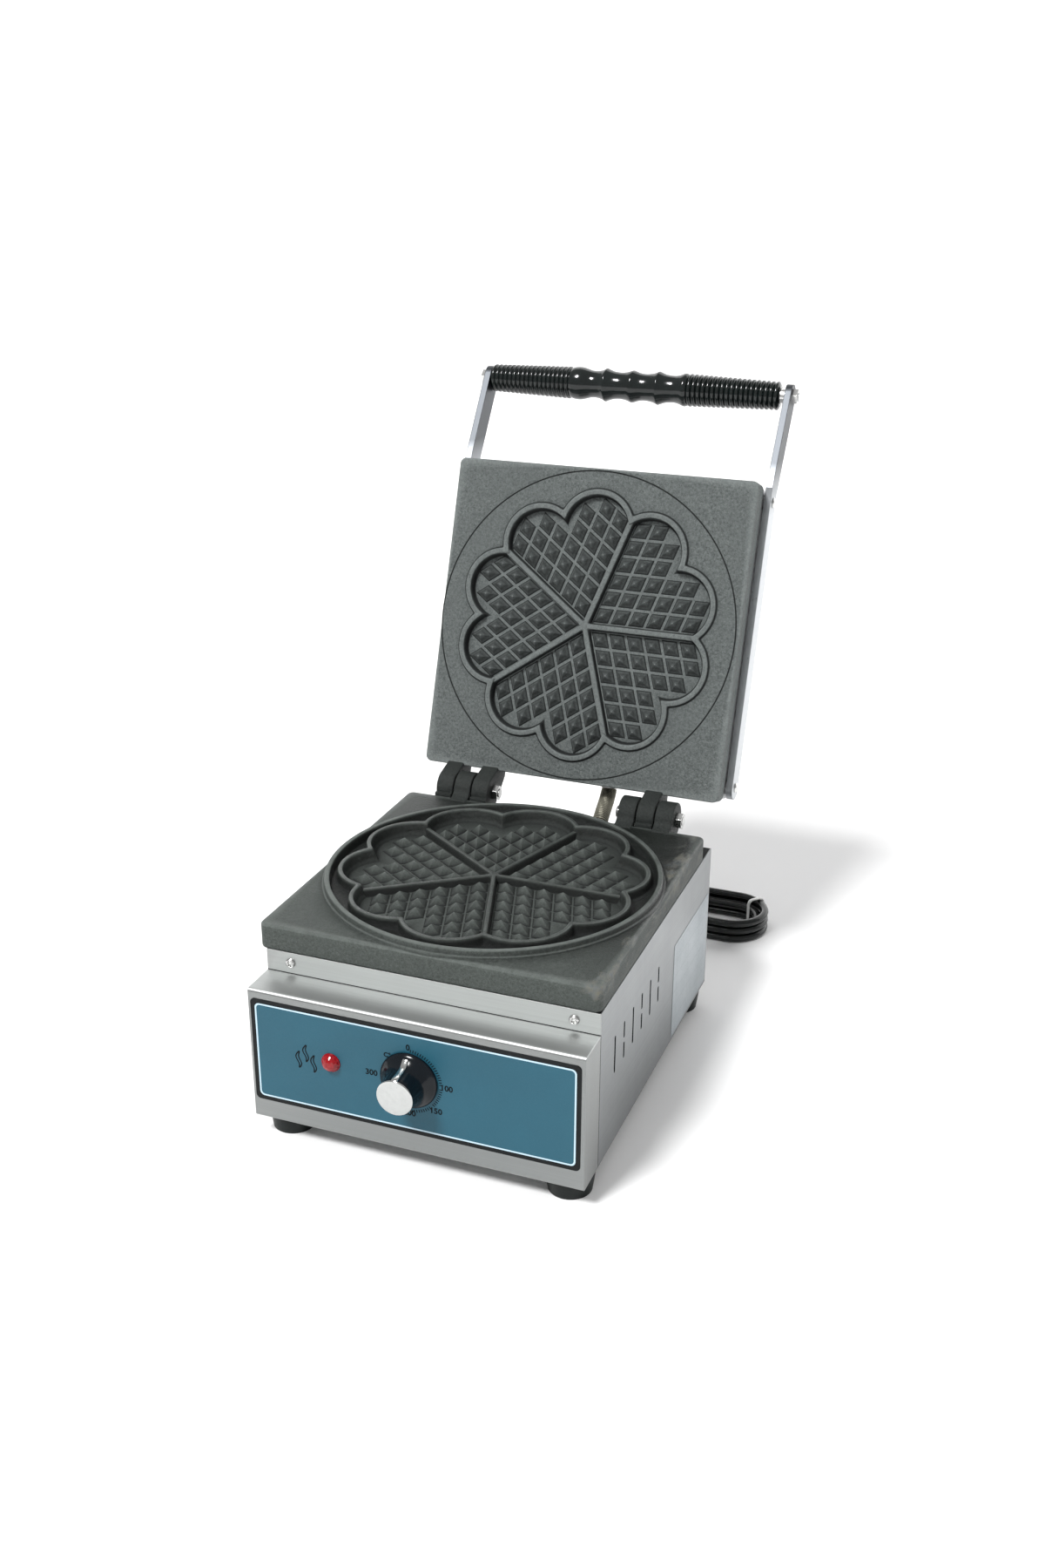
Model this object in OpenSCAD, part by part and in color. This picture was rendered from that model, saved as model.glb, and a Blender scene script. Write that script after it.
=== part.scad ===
// Heart waffle iron: stainless base, two cast plates on pinned ears, two-arm handle.
// All sizes in millimetres, +Z up, control panel towards -Y.

/* [Base] */
// Width of the stainless body
body_w = 280; // [276:1:290]
// Depth of the body from the panel to the rear sheet
body_d = 344; // [340:1:350]
// Height of the rubber feet
foot_h = 18; // [12:1:24]
// Height of the ledge above the floor
ledge_z = 135.5; // [132:0.5:138]
// Depth of the ledge behind the panel
ledge_d = 33; // [28:1:36]
// Top of the body, where the lower plate sits
top_z = 154; // [152:1:156]
// Sheet thickness
sheet = 1.5; // [1:0.1:2]

/* [Plates] */
// Width of each cast plate
plate_w = 286; // [284:1:288]
// Depth of each cast plate
plate_d = 287; // [285:1:288]
// Thickness of each cast plate
plate_t = 22; // [20:1:24]
// Height of the flower wall above the lower plate
wall_h = 8; // [7:0.5:9]
// Depth of the mould floor below the top of the flower wall
pool_h = 11.7; // [10:0.1:13]
// Height of the pyramids on both plates
pyr_h = 6.5; // [4:0.5:7]
// Pitch of the pyramids along a rib
pitch = 16.7; // [15:0.1:17]

/* [Lid] */
// Opening angle of the lid from closed
open_angle = 109.3; // [100:0.1:112]
// Distance of the handle axis from the hinge edge, along the lid
arm_top = 372.4; // [360:0.1:385]
// Distance of the handle axis behind the face of the lid
arm_back = 61.4; // [50:0.1:66]
// Width of the flat arms
arm_w = 22; // [18:1:24]
// Thickness of the flat arms
arm_t = 6; // [5:0.5:7]
// Largest radius of the grip
grip_r = 15.63; // [15:0.01:16]

/* [Controls] */
// Diameter of the knob skirt
knob_d = 48; // [40:1:50]
// Diameter of the pilot lamp lens
lamp_d = 16; // [12:1:18]

/* [Hidden] */
$fn = 64;

// shift that puts the origin under the middle of the machine
ox = 1.5;
oy = -260.1;

hw = body_w / 2;
plate_cx = -3;            // middle of the lower plate
lid_cx = -1.5;            // middle of the lid plate
flower_c = [-3, 176];     // middle of the flower, both plates
py0 = 176 - plate_d / 2;
py1 = 176 + plate_d / 2;
plate_top = top_z + plate_t;
wall_top = plate_top + wall_h;
pool_z = wall_top - pool_h;
lid_z = wall_top + 0.3;   // face of the closed lid
lobe_r = 88.5;            // radius of the lobe centres
hy = 339.4;               // hinge axis
hz = 178.3;
ear_r = 16;
bolt_r = 4;
knob_x = -2;
knob_z = 84.5;
lamp_x = -69;
body_z = foot_h;
arm_d = 36;               // middle of the arms behind the lid face
arm_bend = 284;           // distance from the hinge edge where the arms bend back
cover_d = 32;             // depth of the lid cover
dial_step = 72;
base_screw_y = [70, 215];
foot_y = [27, 324];
// hinge ears: [start, width] along X, left hinge then right hinge
lid_ears = [[-121, 16.5], [-86, 16.5], [74, 16.5]];
base_ears = [[-103.5, 16.5], [56.5, 16.5], [91.5, 16.5]];
cord_r = 4;
// route of the free cord from the strain relief to the hank
lead_pts = [[-60, 356, 46], [-60, 366, 46], [-60, 376, 46], [-60, 386, 44.5], [-60, 395, 40], [-60, 402, 33],
    [-60, 408, 25], [-60, 414, 17], [-59.5, 422, 9.5], [-58, 431, 5.5], [-55, 440, 4], [-50, 448, 4],
    [-43, 454, 4], [-34, 458, 4], [-24, 460, 4], [-13, 460.5, 4], [-2, 460, 4], [9, 460, 4]];
// route of the tail from the hank to the plug
tail_pts = [[9, 524, 20], [-2, 524, 20], [-13, 524, 19.8], [-24, 524, 19.4], [-35, 524, 19],
    [-46, 524, 18.6], [-57, 524, 18.5], [-66, 524, 18.5]];
// route of the spiral conduit from the base fitting to the lid fitting: a smooth curve
// that leaves the base upwards and meets the open lid square to its edge
cond_a = [37, 331, 156.7];
cond_b = [31, 380.3, 183];
cond_ta = [0, 0, 52];
cond_tb = 52 * [0, 0.3305, 0.9438];
function hermite(t) = (2 * pow(t, 3) - 3 * t * t + 1) * cond_a + (pow(t, 3) - 2 * t * t + t) * cond_ta
    + (3 * t * t - 2 * pow(t, 3)) * cond_b + (pow(t, 3) - t * t) * cond_tb;
cond_pts = [for (i = [0:15]) hermite(i / 15)];
cond_r = 7.3;

module place() translate([ox, oy, 0]) children();
// turns what is drawn in the closed position to the open rest position
module lid() place() translate([0, hy, hz]) rotate([-open_angle, 0, 0]) translate([0, -hy, -hz]) children();

// box with rounded vertical corners, from its low corner
module slab(x0, y0, z0, w, d, h, r) {
    translate([x0 + r, y0, z0]) cube([w - 2 * r, d, h]);
    translate([x0, y0 + r, z0]) cube([w, d - 2 * r, h]);
    for (x = [x0 + r, x0 + w - r], y = [y0 + r, y0 + d - r]) translate([x, y, z0]) cylinder(r = r, h = h);
}
module ycyl(x, y, z, r, h) translate([x, y, z]) rotate([-90, 0, 0]) cylinder(r = r, h = h);
module xcyl(x, y, z, r, h) translate([x, y, z]) rotate([0, 90, 0]) cylinder(r = r, h = h);
module hexx(x, y, z, af, h) translate([x, y, z]) rotate([0, 90, 0]) cylinder(d = af / cos(30), h = h, $fn = 6);

// swept round tube along points: a closed polyhedron with n sides
function unit(v) = v / norm(v);
function tangent(p, i) = unit(p[min(i + 1, len(p) - 1)] - p[max(i - 1, 0)]);
function side(t) = abs(t[2]) > 0.9 ? unit(cross(t, [1, 0, 0])) : unit(cross(t, [0, 0, 1]));
function ring_pts(p, i, r, n) = let (t = tangent(p, i), s = side(t), u = cross(s, t))
    [for (k = [0:n - 1]) p[i] + r * (cos(360 * k / n) * s + sin(360 * k / n) * u)];
module tube(p, r, n) {
    m = len(p);
    pts = [for (i = [0:m - 1]) for (q = ring_pts(p, i, r, n)) q];
    f = concat([[for (k = [n - 1:-1:0]) k]],
        [for (i = [0:m - 2], k = [0:n - 1]) [i * n + k, i * n + (k + 1) % n, (i + 1) * n + (k + 1) % n, (i + 1) * n + k]],
        [[for (k = [0:n - 1]) (m - 1) * n + k]]);
    polyhedron(points = pts, faces = [for (q = f) [for (j = [len(q) - 1:-1:0]) q[j]]]);
}

// flower prism: ten round lobes around the middle
module flower(z, h, r, core) translate([flower_c[0], flower_c[1], z]) linear_extrude(h) {
    circle(r = core);
    for (k = [0:9]) rotate(18 + 36 * k) translate([lobe_r, 0]) circle(r = r);
}
module ribs(z, h, len, w) translate([flower_c[0], flower_c[1], z]) {
    for (k = [0:4]) rotate(72 * k) translate([0, -w / 2, 0]) cube([len, w, h]);
    cylinder(r = w * 0.9, h = h);
}
// cells of one heart, counted along its two ribs
rows = [6, 6, 5, 3, 3, 2];
a0 = 11.8;
module pyramids(z, up) {
    s = (pitch - 1.4) / 2;
    for (k = [0:4], j = [0:5]) for (i = [0:rows[j] - 1]) {
        u = [cos(72 * k), sin(72 * k)];
        w = [cos(72 * k + 72), sin(72 * k + 72)];
        c = flower_c + (a0 + i * pitch) * u + (a0 + j * pitch) * w;
        b = [c - s * u - s * w, c + s * u - s * w, c + s * u + s * w, c - s * u + s * w];
        t = [for (q = b) c + 0.08 * (q - c)];
        dz = up ? 1 : -1;
        pts = [for (q = b) [q[0], q[1], z - dz * 1.2], for (q = t) [q[0], q[1], z + dz * pyr_h]];
        fc = [[0, 1, 2, 3], [4, 7, 6, 5], [0, 4, 5, 1], [1, 5, 6, 2], [2, 6, 7, 3], [3, 7, 4, 0]];
        polyhedron(points = pts, faces = up ? fc : [for (q = fc) [q[3], q[2], q[1], q[0]]]);
    }
}

// ---------- base ----------
module vent_slots() for (i = [0:5]) {
    y = 69.5 + i * 23.2;
    if (i % 2 == 0) slot_cut(y, 82, 115);
    else { slot_cut(y, 82, 96.5); slot_cut(y, 100.5, 115); }
}
module slot_cut(y, z0, z1) for (sx = [-1, 1]) {
    translate([sx * hw - 4, y - 1.5, z0 + 1.5]) cube([8, 3, z1 - z0 - 3]);
    for (z = [z0 + 1.5, z1 - 1.5]) xcyl(sx * hw - 4, y, z, 1.5, 8);
}
module body_shell() place() color("silver") difference() {
    union() {
        for (sx = [-1, 1]) translate([sx > 0 ? hw - sheet : -hw, ledge_d, body_z]) cube([sheet, body_d - ledge_d, top_z - body_z]);
        // top frame that carries the plate
        difference() {
            translate([-hw, ledge_d, top_z - sheet]) cube([body_w, body_d - ledge_d, sheet]);
            translate([-hw + 22, ledge_d + 22, top_z - 5]) cube([body_w - 44, 236, 10]);
        }
        // front strip
        translate([-hw, ledge_d, ledge_z]) cube([body_w, sheet, top_z - ledge_z]);
        // rear return flanges
        for (sx = [-1, 1]) translate([sx > 0 ? hw - 14 : -hw, body_d - 2 * sheet, body_z]) cube([14, sheet, top_z - body_z]);
        // tabs for the screws of the base plate
        for (sx = [-1, 1], y = base_screw_y) translate([sx > 0 ? hw - 15 : -hw, y - 12, body_z + sheet + 0.1]) cube([15, 24, sheet]);
    }
    vent_slots();
    for (x = [-119, 119]) ycyl(x, ledge_d - 1, 145, 2.1, 6);
    for (x = [-1, 1], y = [46, 306]) translate([plate_cx + x * 125, y, top_z - 4]) cylinder(r = 3.3, h = 8);
    for (x = [-1, 1], z = [40, 130]) ycyl(x * 133, body_d - 5, z, 1.6, 8);
    for (x = [-1, 1], y = base_screw_y) translate([x * 131, y, body_z]) cylinder(r = 1.5, h = 6);
    translate([37, 331, top_z - 4]) cylinder(r = 6, h = 8);
}
module control_fascia() place() color("gainsboro") difference() {
    union() {
        difference() {
            union() {
                translate([-hw, 3, body_z]) cube([body_w, ledge_d - 3, ledge_z - body_z]);
                translate([-hw, 0, body_z + 3]) cube([body_w, ledge_d, ledge_z - body_z - 6]);
                for (z = [body_z + 3, ledge_z - 3]) translate([-hw, 3, z]) rotate([0, 90, 0]) cylinder(r = 3, h = body_w);
            }
            translate([-hw + sheet, sheet, body_z + sheet]) cube([body_w - 2 * sheet, ledge_d, ledge_z - body_z - 2 * sheet]);
        }
        // upstand behind the strip
        translate([-hw + 6, ledge_d + sheet, ledge_z - sheet]) cube([body_w - 12, sheet, 16]);
        translate([-hw + 6, ledge_d - 1, ledge_z - sheet]) cube([body_w - 12, sheet + 2, sheet]);
    }
    ycyl(knob_x, -2, knob_z, 4.5, 8);
    ycyl(lamp_x, -2, knob_z, 6.1, 8);
    for (x = [-14, 14]) ycyl(knob_x + x, -2, knob_z, 2.1, 8);
    for (x = [-119, 119]) ycyl(x, ledge_d - 1, 145, 1.6, 6);
    for (x = [-120, 120]) translate([x, 27, body_z - 2]) cylinder(r = 2.6, h = 6);
}
module control_overlay() place() color([0.2, 0.42, 0.5]) difference() {
    translate([-138, -0.4, 36]) rotate([90, 0, 0]) mirror([0, 0, 1]) slab(0, 0, 0, 275, 92, 0.4, 4);
    ycyl(knob_x, -2, knob_z, 5, 4);
    ycyl(lamp_x, -2, knob_z, 6.3, 4);
}
module rear_panel() place() color("silver") difference() {
    translate([-hw + sheet + 0.1, body_d - sheet, body_z + sheet + 0.2]) cube([body_w - 2 * sheet - 0.2, sheet, top_z - body_z - 2 * sheet - 0.4]);
    ycyl(-60, body_d - 4, 46, 8, 8);
    for (x = [-1, 1], z = [40, 130]) ycyl(x * 133, body_d - 5, z, 2.1, 8);
    for (i = [0:7], s = [0, 1]) translate([-10 + i * 14 - s * 0, body_d - 4, 70 + s * 28]) cube([3, 8, 20]);
}
module base_plate() place() color("silver") difference() {
    translate([-hw + sheet + 0.2, ledge_d + 1, body_z]) cube([body_w - 2 * sheet - 0.4, body_d - ledge_d - 1 - 2 * sheet - 0.2, sheet]);
    for (x = [-120, 120]) translate([x, foot_y[1], body_z - 2]) cylinder(r = 2.6, h = 6);
    for (i = [0:8]) translate([-84 + i * 20, 130, body_z - 2]) cube([4, 80, 6]);
    for (x = [-1, 1], y = base_screw_y) translate([x * 131, y, body_z - 2]) cylinder(r = 2.1, h = 6);
}
module rubber_feet() place() color([0.1, 0.1, 0.1]) for (x = [-120, 120], y = foot_y) translate([x, y, 0]) difference() {
    union() {
        cylinder(r1 = 17.5, r2 = 19.5, h = foot_h - 4);
        translate([0, 0, foot_h - 4]) cylinder(r = 19.5, h = 4);
    }
    translate([0, 0, -1]) cylinder(r = 5, h = 7);
    cylinder(r = 2.6, h = 40);
}
module foot_screws() place() color("gray") for (x = [-120, 120], y = foot_y) translate([x, y, 0]) {
    translate([0, 0, 3]) cylinder(r = 4.5, h = 3);
    translate([0, 0, 5]) cylinder(r = 2.5, h = foot_h + 5);
    translate([0, 0, foot_h + sheet]) cylinder(d = 8 / cos(30), h = 4, $fn = 6);
}
module pan_head(r, h) rotate_extrude() polygon([[0, 0], [r, 0], [r, h * 0.45], [r * 0.8, h * 0.8], [r * 0.4, h], [0, h]]);
module strip_screws() place() color("silver") for (x = [-119, 119]) translate([x, ledge_d, 145]) {
    rotate([90, 0, 0]) pan_head(4.1, 2.6);
    ycyl(0, -1, 0, 1.6, 8);
}
module base_screws() place() color("gray") for (x = [-1, 1], y = base_screw_y) translate([x * 131, y, body_z]) {
    translate([0, 0, -0.5]) cylinder(r = 1.5, h = 6);
    rotate([180, 0, 0]) pan_head(3.6, 2.2);
}
module rear_screws() place() color("gray") for (x = [-1, 1], z = [40, 130]) translate([x * 133, body_d, z]) {
    rotate([-90, 0, 0]) pan_head(3.6, 2.2);
    ycyl(0, -6, 0, 1.6, 7);
}
module control_knob() place() color([0.06, 0.06, 0.07]) translate([knob_x, -0.9, knob_z]) rotate([90, 0, 0]) difference() {
    rotate_extrude() polygon([[0, 0], [knob_d / 2, 0], [knob_d / 2, 1.6], [knob_d / 2 - 2, 4], [16.2, 9.5], [15.2, 12], [14.4, 24], [13.4, 25.2], [0, 25.2]]);
    translate([0, 0, -1]) cylinder(r = 3.02, h = 15);
    // recess for the chrome insert and its pointer tongue
    translate([0, 0, 22.6]) cylinder(r = 12.5, h = 5);
    translate([-2.7, 12, 4.5]) cube([5.4, 14, 24]);
}
module knob_cap() place() color("gainsboro") translate([knob_x, -0.9, knob_z]) rotate([90, 0, 0]) {
    translate([0, 0, 22.6]) rotate_extrude() polygon([[0, 0], [12.5, 0], [12.5, 2.6], [14.6, 3.0], [15, 3.6], [14.4, 4.4], [0, 4.6]]);
    // pointer tongue running down to the skirt
    translate([2.6, 0, 0]) rotate([0, -90, 0]) linear_extrude(5.2) polygon([[4.5, 12], [4.5, 21.5], [10, 17.6], [12, 16.6], [25.6, 15], [25.6, 12]]);
}
module thermostat_spindle() place() color("silver") ycyl(knob_x, -14, knob_z, 3, 24);
module thermostat_body() place() color([0.75, 0.72, 0.65]) difference() {
    union() {
        translate([knob_x - 22, 4, knob_z - 18]) cube([44, 24, 36]);
        ycyl(knob_x, sheet, knob_z, 4.4, 4);
        for (x = [-14, 14]) ycyl(knob_x + x, sheet, knob_z, 3.5, 3);
    }
    ycyl(knob_x, 0, knob_z, 3.05, 12);
    for (x = [-14, 14]) ycyl(knob_x + x, 0, knob_z, 1.8, 10);
}
module thermostat_bulb() place() color([0.72, 0.45, 0.25]) ycyl(-60, 130, 160.5, 3, 80);
module capillary() place() color([0.72, 0.45, 0.25]) tube([[-10, 28, 95], [-12, 36, 97], [-20, 46, 102], [-34, 54, 107], [-50, 61, 112], [-58, 70, 118], [-60, 80, 125], [-60, 90, 135], [-60, 99, 144], [-60, 108, 150], [-60, 117, 152.5], [-60, 124, 158.5], [-60, 129.6, 160.5]], 1.1, 8);
module pilot_lamp_lens() place() color([0.8, 0.1, 0.1]) translate([lamp_x, -0.4, knob_z]) rotate([90, 0, 0]) rotate_extrude() polygon([[0, 0], [lamp_d / 2, 0], [lamp_d / 2, 1.6], [6.8, 3.6], [4.8, 5.2], [2.4, 6], [0, 6.2]]);
module pilot_lamp_body() place() color("white") {
    ycyl(lamp_x, -0.4, knob_z, 6, 26);
    ycyl(lamp_x, 1.6, knob_z, 8, 4);
    for (x = [-3, 3]) translate([lamp_x + x - 0.4, 25, knob_z - 3]) cube([0.8, 8, 6]);
}
module rating_label() place() color("white") translate([hw, 232, 21]) cube([0.3, 109, 90]);
module terminal_block() place() color("ivory") difference() {
    translate([-100, 300, body_z + sheet]) cube([60, 18, 16]);
    for (i = [0:2]) translate([-88 + i * 18, 309, 25]) cylinder(r = 3, h = 20);
}
module cable_gland() place() color([0.08, 0.08, 0.08]) difference() {
    union() {
        ycyl(-60, body_d, 46, 11, 5);
        ycyl(-60, body_d - 12, 46, 7.9, 14);
        translate([-60, body_d - sheet - 7, 46]) rotate([90, 0, 0]) mirror([0, 0, 1]) cylinder(d = 24, h = 5, $fn = 6);
        translate([-60, body_d + 5, 46]) rotate([-90, 0, 0]) cylinder(r1 = 8, r2 = 5.2, h = 23);
    }
    ycyl(-60, body_d - 14, 46, 4.02, 60);
}
module lower_plate() place() color([0.2, 0.21, 0.21]) {
    lower_casting();
    pyramids(pool_z, true);
    ribs(pool_z - 0.5, 7.5, 112, 6.2);
}
module lower_casting() difference() {
    union() {
        difference() {
            union() {
                slab(plate_cx - plate_w / 2, py0, top_z, plate_w, plate_d, plate_t, 6);
                translate([flower_c[0], flower_c[1], top_z + 12]) cylinder(r = plate_d / 2 - 0.6, h = plate_t - 12 + 2.5);
                translate([flower_c[0], flower_c[1], top_z + 12]) cylinder(r = plate_d / 2 - 2.6, h = plate_t - 12 + wall_h - 0.8);
            }
            translate([flower_c[0], flower_c[1], plate_top - 1]) cylinder(r1 = plate_d / 2 - 8.5, r2 = plate_d / 2 - 6.5, h = wall_h + 2);
        }
        flower(plate_top - 3, wall_h + 3, 42.7, 98);
        for (e = base_ears) {
            xcyl(e[0], hy, hz, ear_r, e[1]);
            translate([e[0], py1 - 8, hz - ear_r]) cube([e[1], hy - py1 + 8, 18]);
        }
    }
    flower(pool_z, pool_h + 1, 37.5, 98);
    // pocket for the heating element
    slab(plate_cx - 116, 60, top_z - 1, 232, 232, 11, 20);
    for (x = [-1, 1], y = [46, 306]) translate([plate_cx + x * 125, y, top_z - 1]) cylinder(r = 3, h = 13);
    for (e = base_ears) xcyl(e[0] - 1, hy, hz, bolt_r + 0.05, e[1] + 2);
    // blind hole for the clamp bolt
    translate([plate_cx, 176, top_z]) cylinder(r = 3, h = 14);
}
module plate_bolts() place() color("gray") for (x = [-1, 1], y = [46, 306]) translate([plate_cx + x * 125, y, 0]) {
    translate([0, 0, top_z - 8]) cylinder(r = 3, h = 19);
    translate([0, 0, top_z - sheet - 5]) cylinder(d = 10 / cos(30), h = 5, $fn = 6);
}
module lower_element() place() color([0.35, 0.33, 0.3]) translate([plate_cx, 176, top_z + 5.9]) {
    rotate([0, 0, 12]) rotate_extrude(angle = 336) translate([86, 0]) circle(r = 4);
    for (a = [9, 351]) rotate(a) translate([86, 0, 0]) {
        translate([-5, -6, -4.6]) cube([10, 12, 8.5]);
        translate([0, 0, -39]) cylinder(r = 3.4, h = 36);
    }
}
module lower_clamp() place() color("gray") difference() {
    translate([plate_cx - 100, 161, top_z - 1.2]) cube([200, 30, 3]);
    translate([plate_cx, 176, top_z - 5]) cylinder(r = 3.2, h = 12);
    translate([plate_cx + 86, 176, top_z - 5]) cylinder(r = 24, h = 12);
}
module lower_clamp_bolt() place() color("gray") translate([plate_cx, 176, 0]) {
    translate([0, 0, top_z - 2]) cylinder(r = 3, h = 15);
    translate([0, 0, top_z - 5.2]) cylinder(d = 10 / cos(30), h = 4, $fn = 6);
}
module lower_insulation() place() color([0.85, 0.8, 0.6]) difference() {
    translate([-114, 66, 122]) cube([226, 220, 25]);
    translate([plate_cx + 70, 145, 110]) cube([30, 62, 50]);
    translate([-75, 60, 110]) cube([30, 60, 50]);
}
module insulation_tray() place() color("lightgray") difference() {
    union() {
        translate([-116, 64, 120.5]) cube([230, 224, 1.5]);
        for (sx = [-1, 1]) translate([sx > 0 ? 112.5 : -116, 64, 120.5]) cube([1.5, 224, top_z - sheet - 120.5]);
        for (x = [-130, 112.5]) translate([x, 64, top_z - 2 * sheet]) cube([15.5, 224, sheet]);
    }
    translate([plate_cx + 68, 143, 110]) cube([34, 66, 20]);
    translate([-77, 62, 110]) cube([34, 62, 20]);
}
module hinge_bolts() place() color("silver") {
    xcyl(-121.3, hy, hz, bolt_r, 58.5);
    translate([-121.3, hy, hz]) rotate([0, -90, 0]) pan_head(6.6, 5);
    xcyl(56.2, hy, hz, bolt_r, 58);
    translate([56.2, hy, hz]) rotate([0, -90, 0]) pan_head(6.6, 5);
}
module hinge_nuts() place() color("silver") for (x = [-69.2, 108.3]) difference() {
    hexx(x, hy, hz, 13, 5.5);
    xcyl(x - 1, hy, hz, bolt_r, 8);
}

// ---------- lid, drawn closed ----------
module upper_plate() lid() color([0.3, 0.31, 0.31]) {
    upper_casting();
    pyramids(lid_z + 5.2, false);
    ribs(lid_z - 1.3, 7, 104, 5.6);
}
module upper_casting() difference() {
    union() {
        difference() {
            union() {
                slab(lid_cx - plate_w / 2, py0, lid_z, plate_w, plate_d, plate_t, 6);
                flower(lid_z - 2.8, 4, 36, 98);
            }
            // recess of the mould
            flower(lid_z - 4, 9.2, 31, 94);
            // step line round the plate
            translate([flower_c[0], flower_c[1], lid_z - 1]) difference() {
                cylinder(r = 141.6, h = 1.6);
                translate([0, 0, -1]) cylinder(r = 140.6, h = 4);
            }
            // pocket behind
            slab(lid_cx - 120, 56, lid_z + plate_t - 8, 240, 240, 9, 20);
        }
        for (e = lid_ears) {
            xcyl(e[0], hy, hz, ear_r, e[1]);
            translate([e[0], hy, hz]) rotate([90, 0, 90]) linear_extrude(e[1]) polygon([[-24, 8], [-24, 27], [-14, 27], ear_r * [0.6925, 0.7214], -ear_r * [0.6925, 0.7214]]);
            // heel that stops the open lid against the lower plate
            translate([e[0], hy, hz]) rotate([open_angle, 0, 0]) translate([0, -19.6, -8]) cube([e[1], 14, 8]);
        }
    }
    for (e = lid_ears) xcyl(e[0] - 1, hy, hz, bolt_r + 0.05, e[1] + 2);
    translate([lid_cx, 176, lid_z + plate_t - 12]) cylinder(r = 3, h = 14);
    for (x = [-1, 1], y = [42, 310]) translate([lid_cx + x * 110, y, lid_z + plate_t - 8]) cylinder(r = 2.5, h = 9);
}
module upper_element() lid() color([0.35, 0.33, 0.3]) translate([lid_cx, 176, lid_z + plate_t - 3.3]) {
    rotate([0, 0, 282]) rotate_extrude(angle = 336) translate([86, 0]) circle(r = 4);
    for (a = [279, 261]) rotate(a) translate([86, 0, 0]) {
        translate([-5, -6, -4.6]) cube([10, 12, 9.2]);
        translate([0, 0, 3]) cylinder(r = 3.4, h = 9);
    }
}
module upper_clamp() lid() color("gray") difference() {
    translate([lid_cx - 100, 161, lid_z + plate_t + 0.8]) cube([200, 30, 3]);
    translate([lid_cx, 176, lid_z + plate_t - 2]) cylinder(r = 3.2, h = 12);
}
module upper_clamp_bolt() lid() color("gray") translate([lid_cx, 176, lid_z + plate_t]) {
    translate([0, 0, -10]) cylinder(r = 3, h = 15);
    translate([0, 0, 3.8]) cylinder(d = 10 / cos(30), h = 4, $fn = 6);
}
module upper_insulation() lid() color([0.85, 0.8, 0.6]) difference() {
    translate([lid_cx - 130, 48, lid_z + plate_t + 9]) cube([260, 256, 16]);
}
module upper_cover() lid() color([0.62, 0.64, 0.66]) difference() {
    slab(lid_cx - plate_w / 2 + 1, py0 + 1, lid_z + plate_t, plate_w - 2, plate_d - 2, cover_d, 8);
    slab(lid_cx - plate_w / 2 + 2.5, py0 + 2.5, lid_z + plate_t - 1, plate_w - 5, plate_d - 5, cover_d - 0.5, 6.5);
    for (v = [14, 273]) xcyl(-160, 319.5 - v, lid_z + arm_d, 2.6, 320);
    translate([31, py1 - 4, lid_z + 31]) rotate([-90, 0, 0]) cylinder(r = 6, h = 8);
    for (x = [-1, 1], y = [42, 310]) translate([lid_cx + x * 110, y, lid_z + plate_t + cover_d - 4]) cylinder(r = 2.6, h = 8);
}
module cover_screws() lid() color("silver") for (x = [-1, 1], y = [42, 310]) translate([lid_cx + x * 110, y, lid_z + plate_t]) {
    translate([0, 0, cover_d]) pan_head(5, 3);
    translate([0, 0, -7]) cylinder(r = 2.5, h = cover_d + 8);
}
// flat bar with round ends that bends back above the lid, its low face at x0
ha = [319.5 - arm_top, lid_z + arm_back];   // handle axis of the closed lid
module arm(x0) {
    th = atan2(arm_back - arm_d, arm_top - arm_bend);
    n2 = arm_w / 2 * [-sin(th), cos(th)];
    m = arm_w / 2 / cos(th / 2) * [-sin(th / 2), cos(th / 2)];
    b = [arm_bend, arm_d];
    e = [arm_top, arm_back];
    side_pts = [[14, arm_d - arm_w / 2], b - m, e - n2, e + n2, b + m, [14, arm_d + arm_w / 2]];
    difference() {
        union() {
            translate([x0, 0, 0]) rotate([90, 0, 90]) linear_extrude(arm_t) polygon([for (q = side_pts) [319.5 - q[0], lid_z + q[1]]]);
            xcyl(x0, 319.5 - 14, lid_z + arm_d, arm_w / 2, arm_t);
            xcyl(x0, ha[0], ha[1], arm_w / 2, arm_t);
        }
        for (v = [14, 273]) xcyl(x0 - 1, 319.5 - v, lid_z + arm_d, 2.6, arm_t + 2);
        xcyl(x0 - 1, ha[0], ha[1], 4.05, arm_t + 2);
    }
}
// a washer keeps each arm off the cover
washer_t = 1.5;
arm_l = lid_cx - plate_w / 2 + 1 - washer_t - arm_t;
arm_rr = lid_cx + plate_w / 2 - 1 + washer_t;
module handle_arm_left() lid() color("silver") arm(arm_l);
module handle_arm_right() lid() color("silver") arm(arm_rr);
module arm_bolts() lid() color("silver") for (v = [14, 273]) {
    translate([arm_l, 319.5 - v, lid_z + arm_d]) rotate([0, -90, 0]) pan_head(4.6, 2.2);
    xcyl(arm_l - 0.5, 319.5 - v, lid_z + arm_d, 2.5, arm_t + 12);
    xcyl(arm_l + arm_t, 319.5 - v, lid_z + arm_d, 7, washer_t);
    hexx(arm_l + arm_t + washer_t + 1.5, 319.5 - v, lid_z + arm_d, 8, 4);
    translate([arm_rr + arm_t, 319.5 - v, lid_z + arm_d]) rotate([0, 90, 0]) pan_head(4.6, 2.2);
    xcyl(arm_rr - 11.5, 319.5 - v, lid_z + arm_d, 2.5, arm_t + 12);
    xcyl(arm_rr - washer_t, 319.5 - v, lid_z + arm_d, 7, washer_t);
    hexx(arm_rr - washer_t - 5.5, 319.5 - v, lid_z + arm_d, 8, 4);
}
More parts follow.
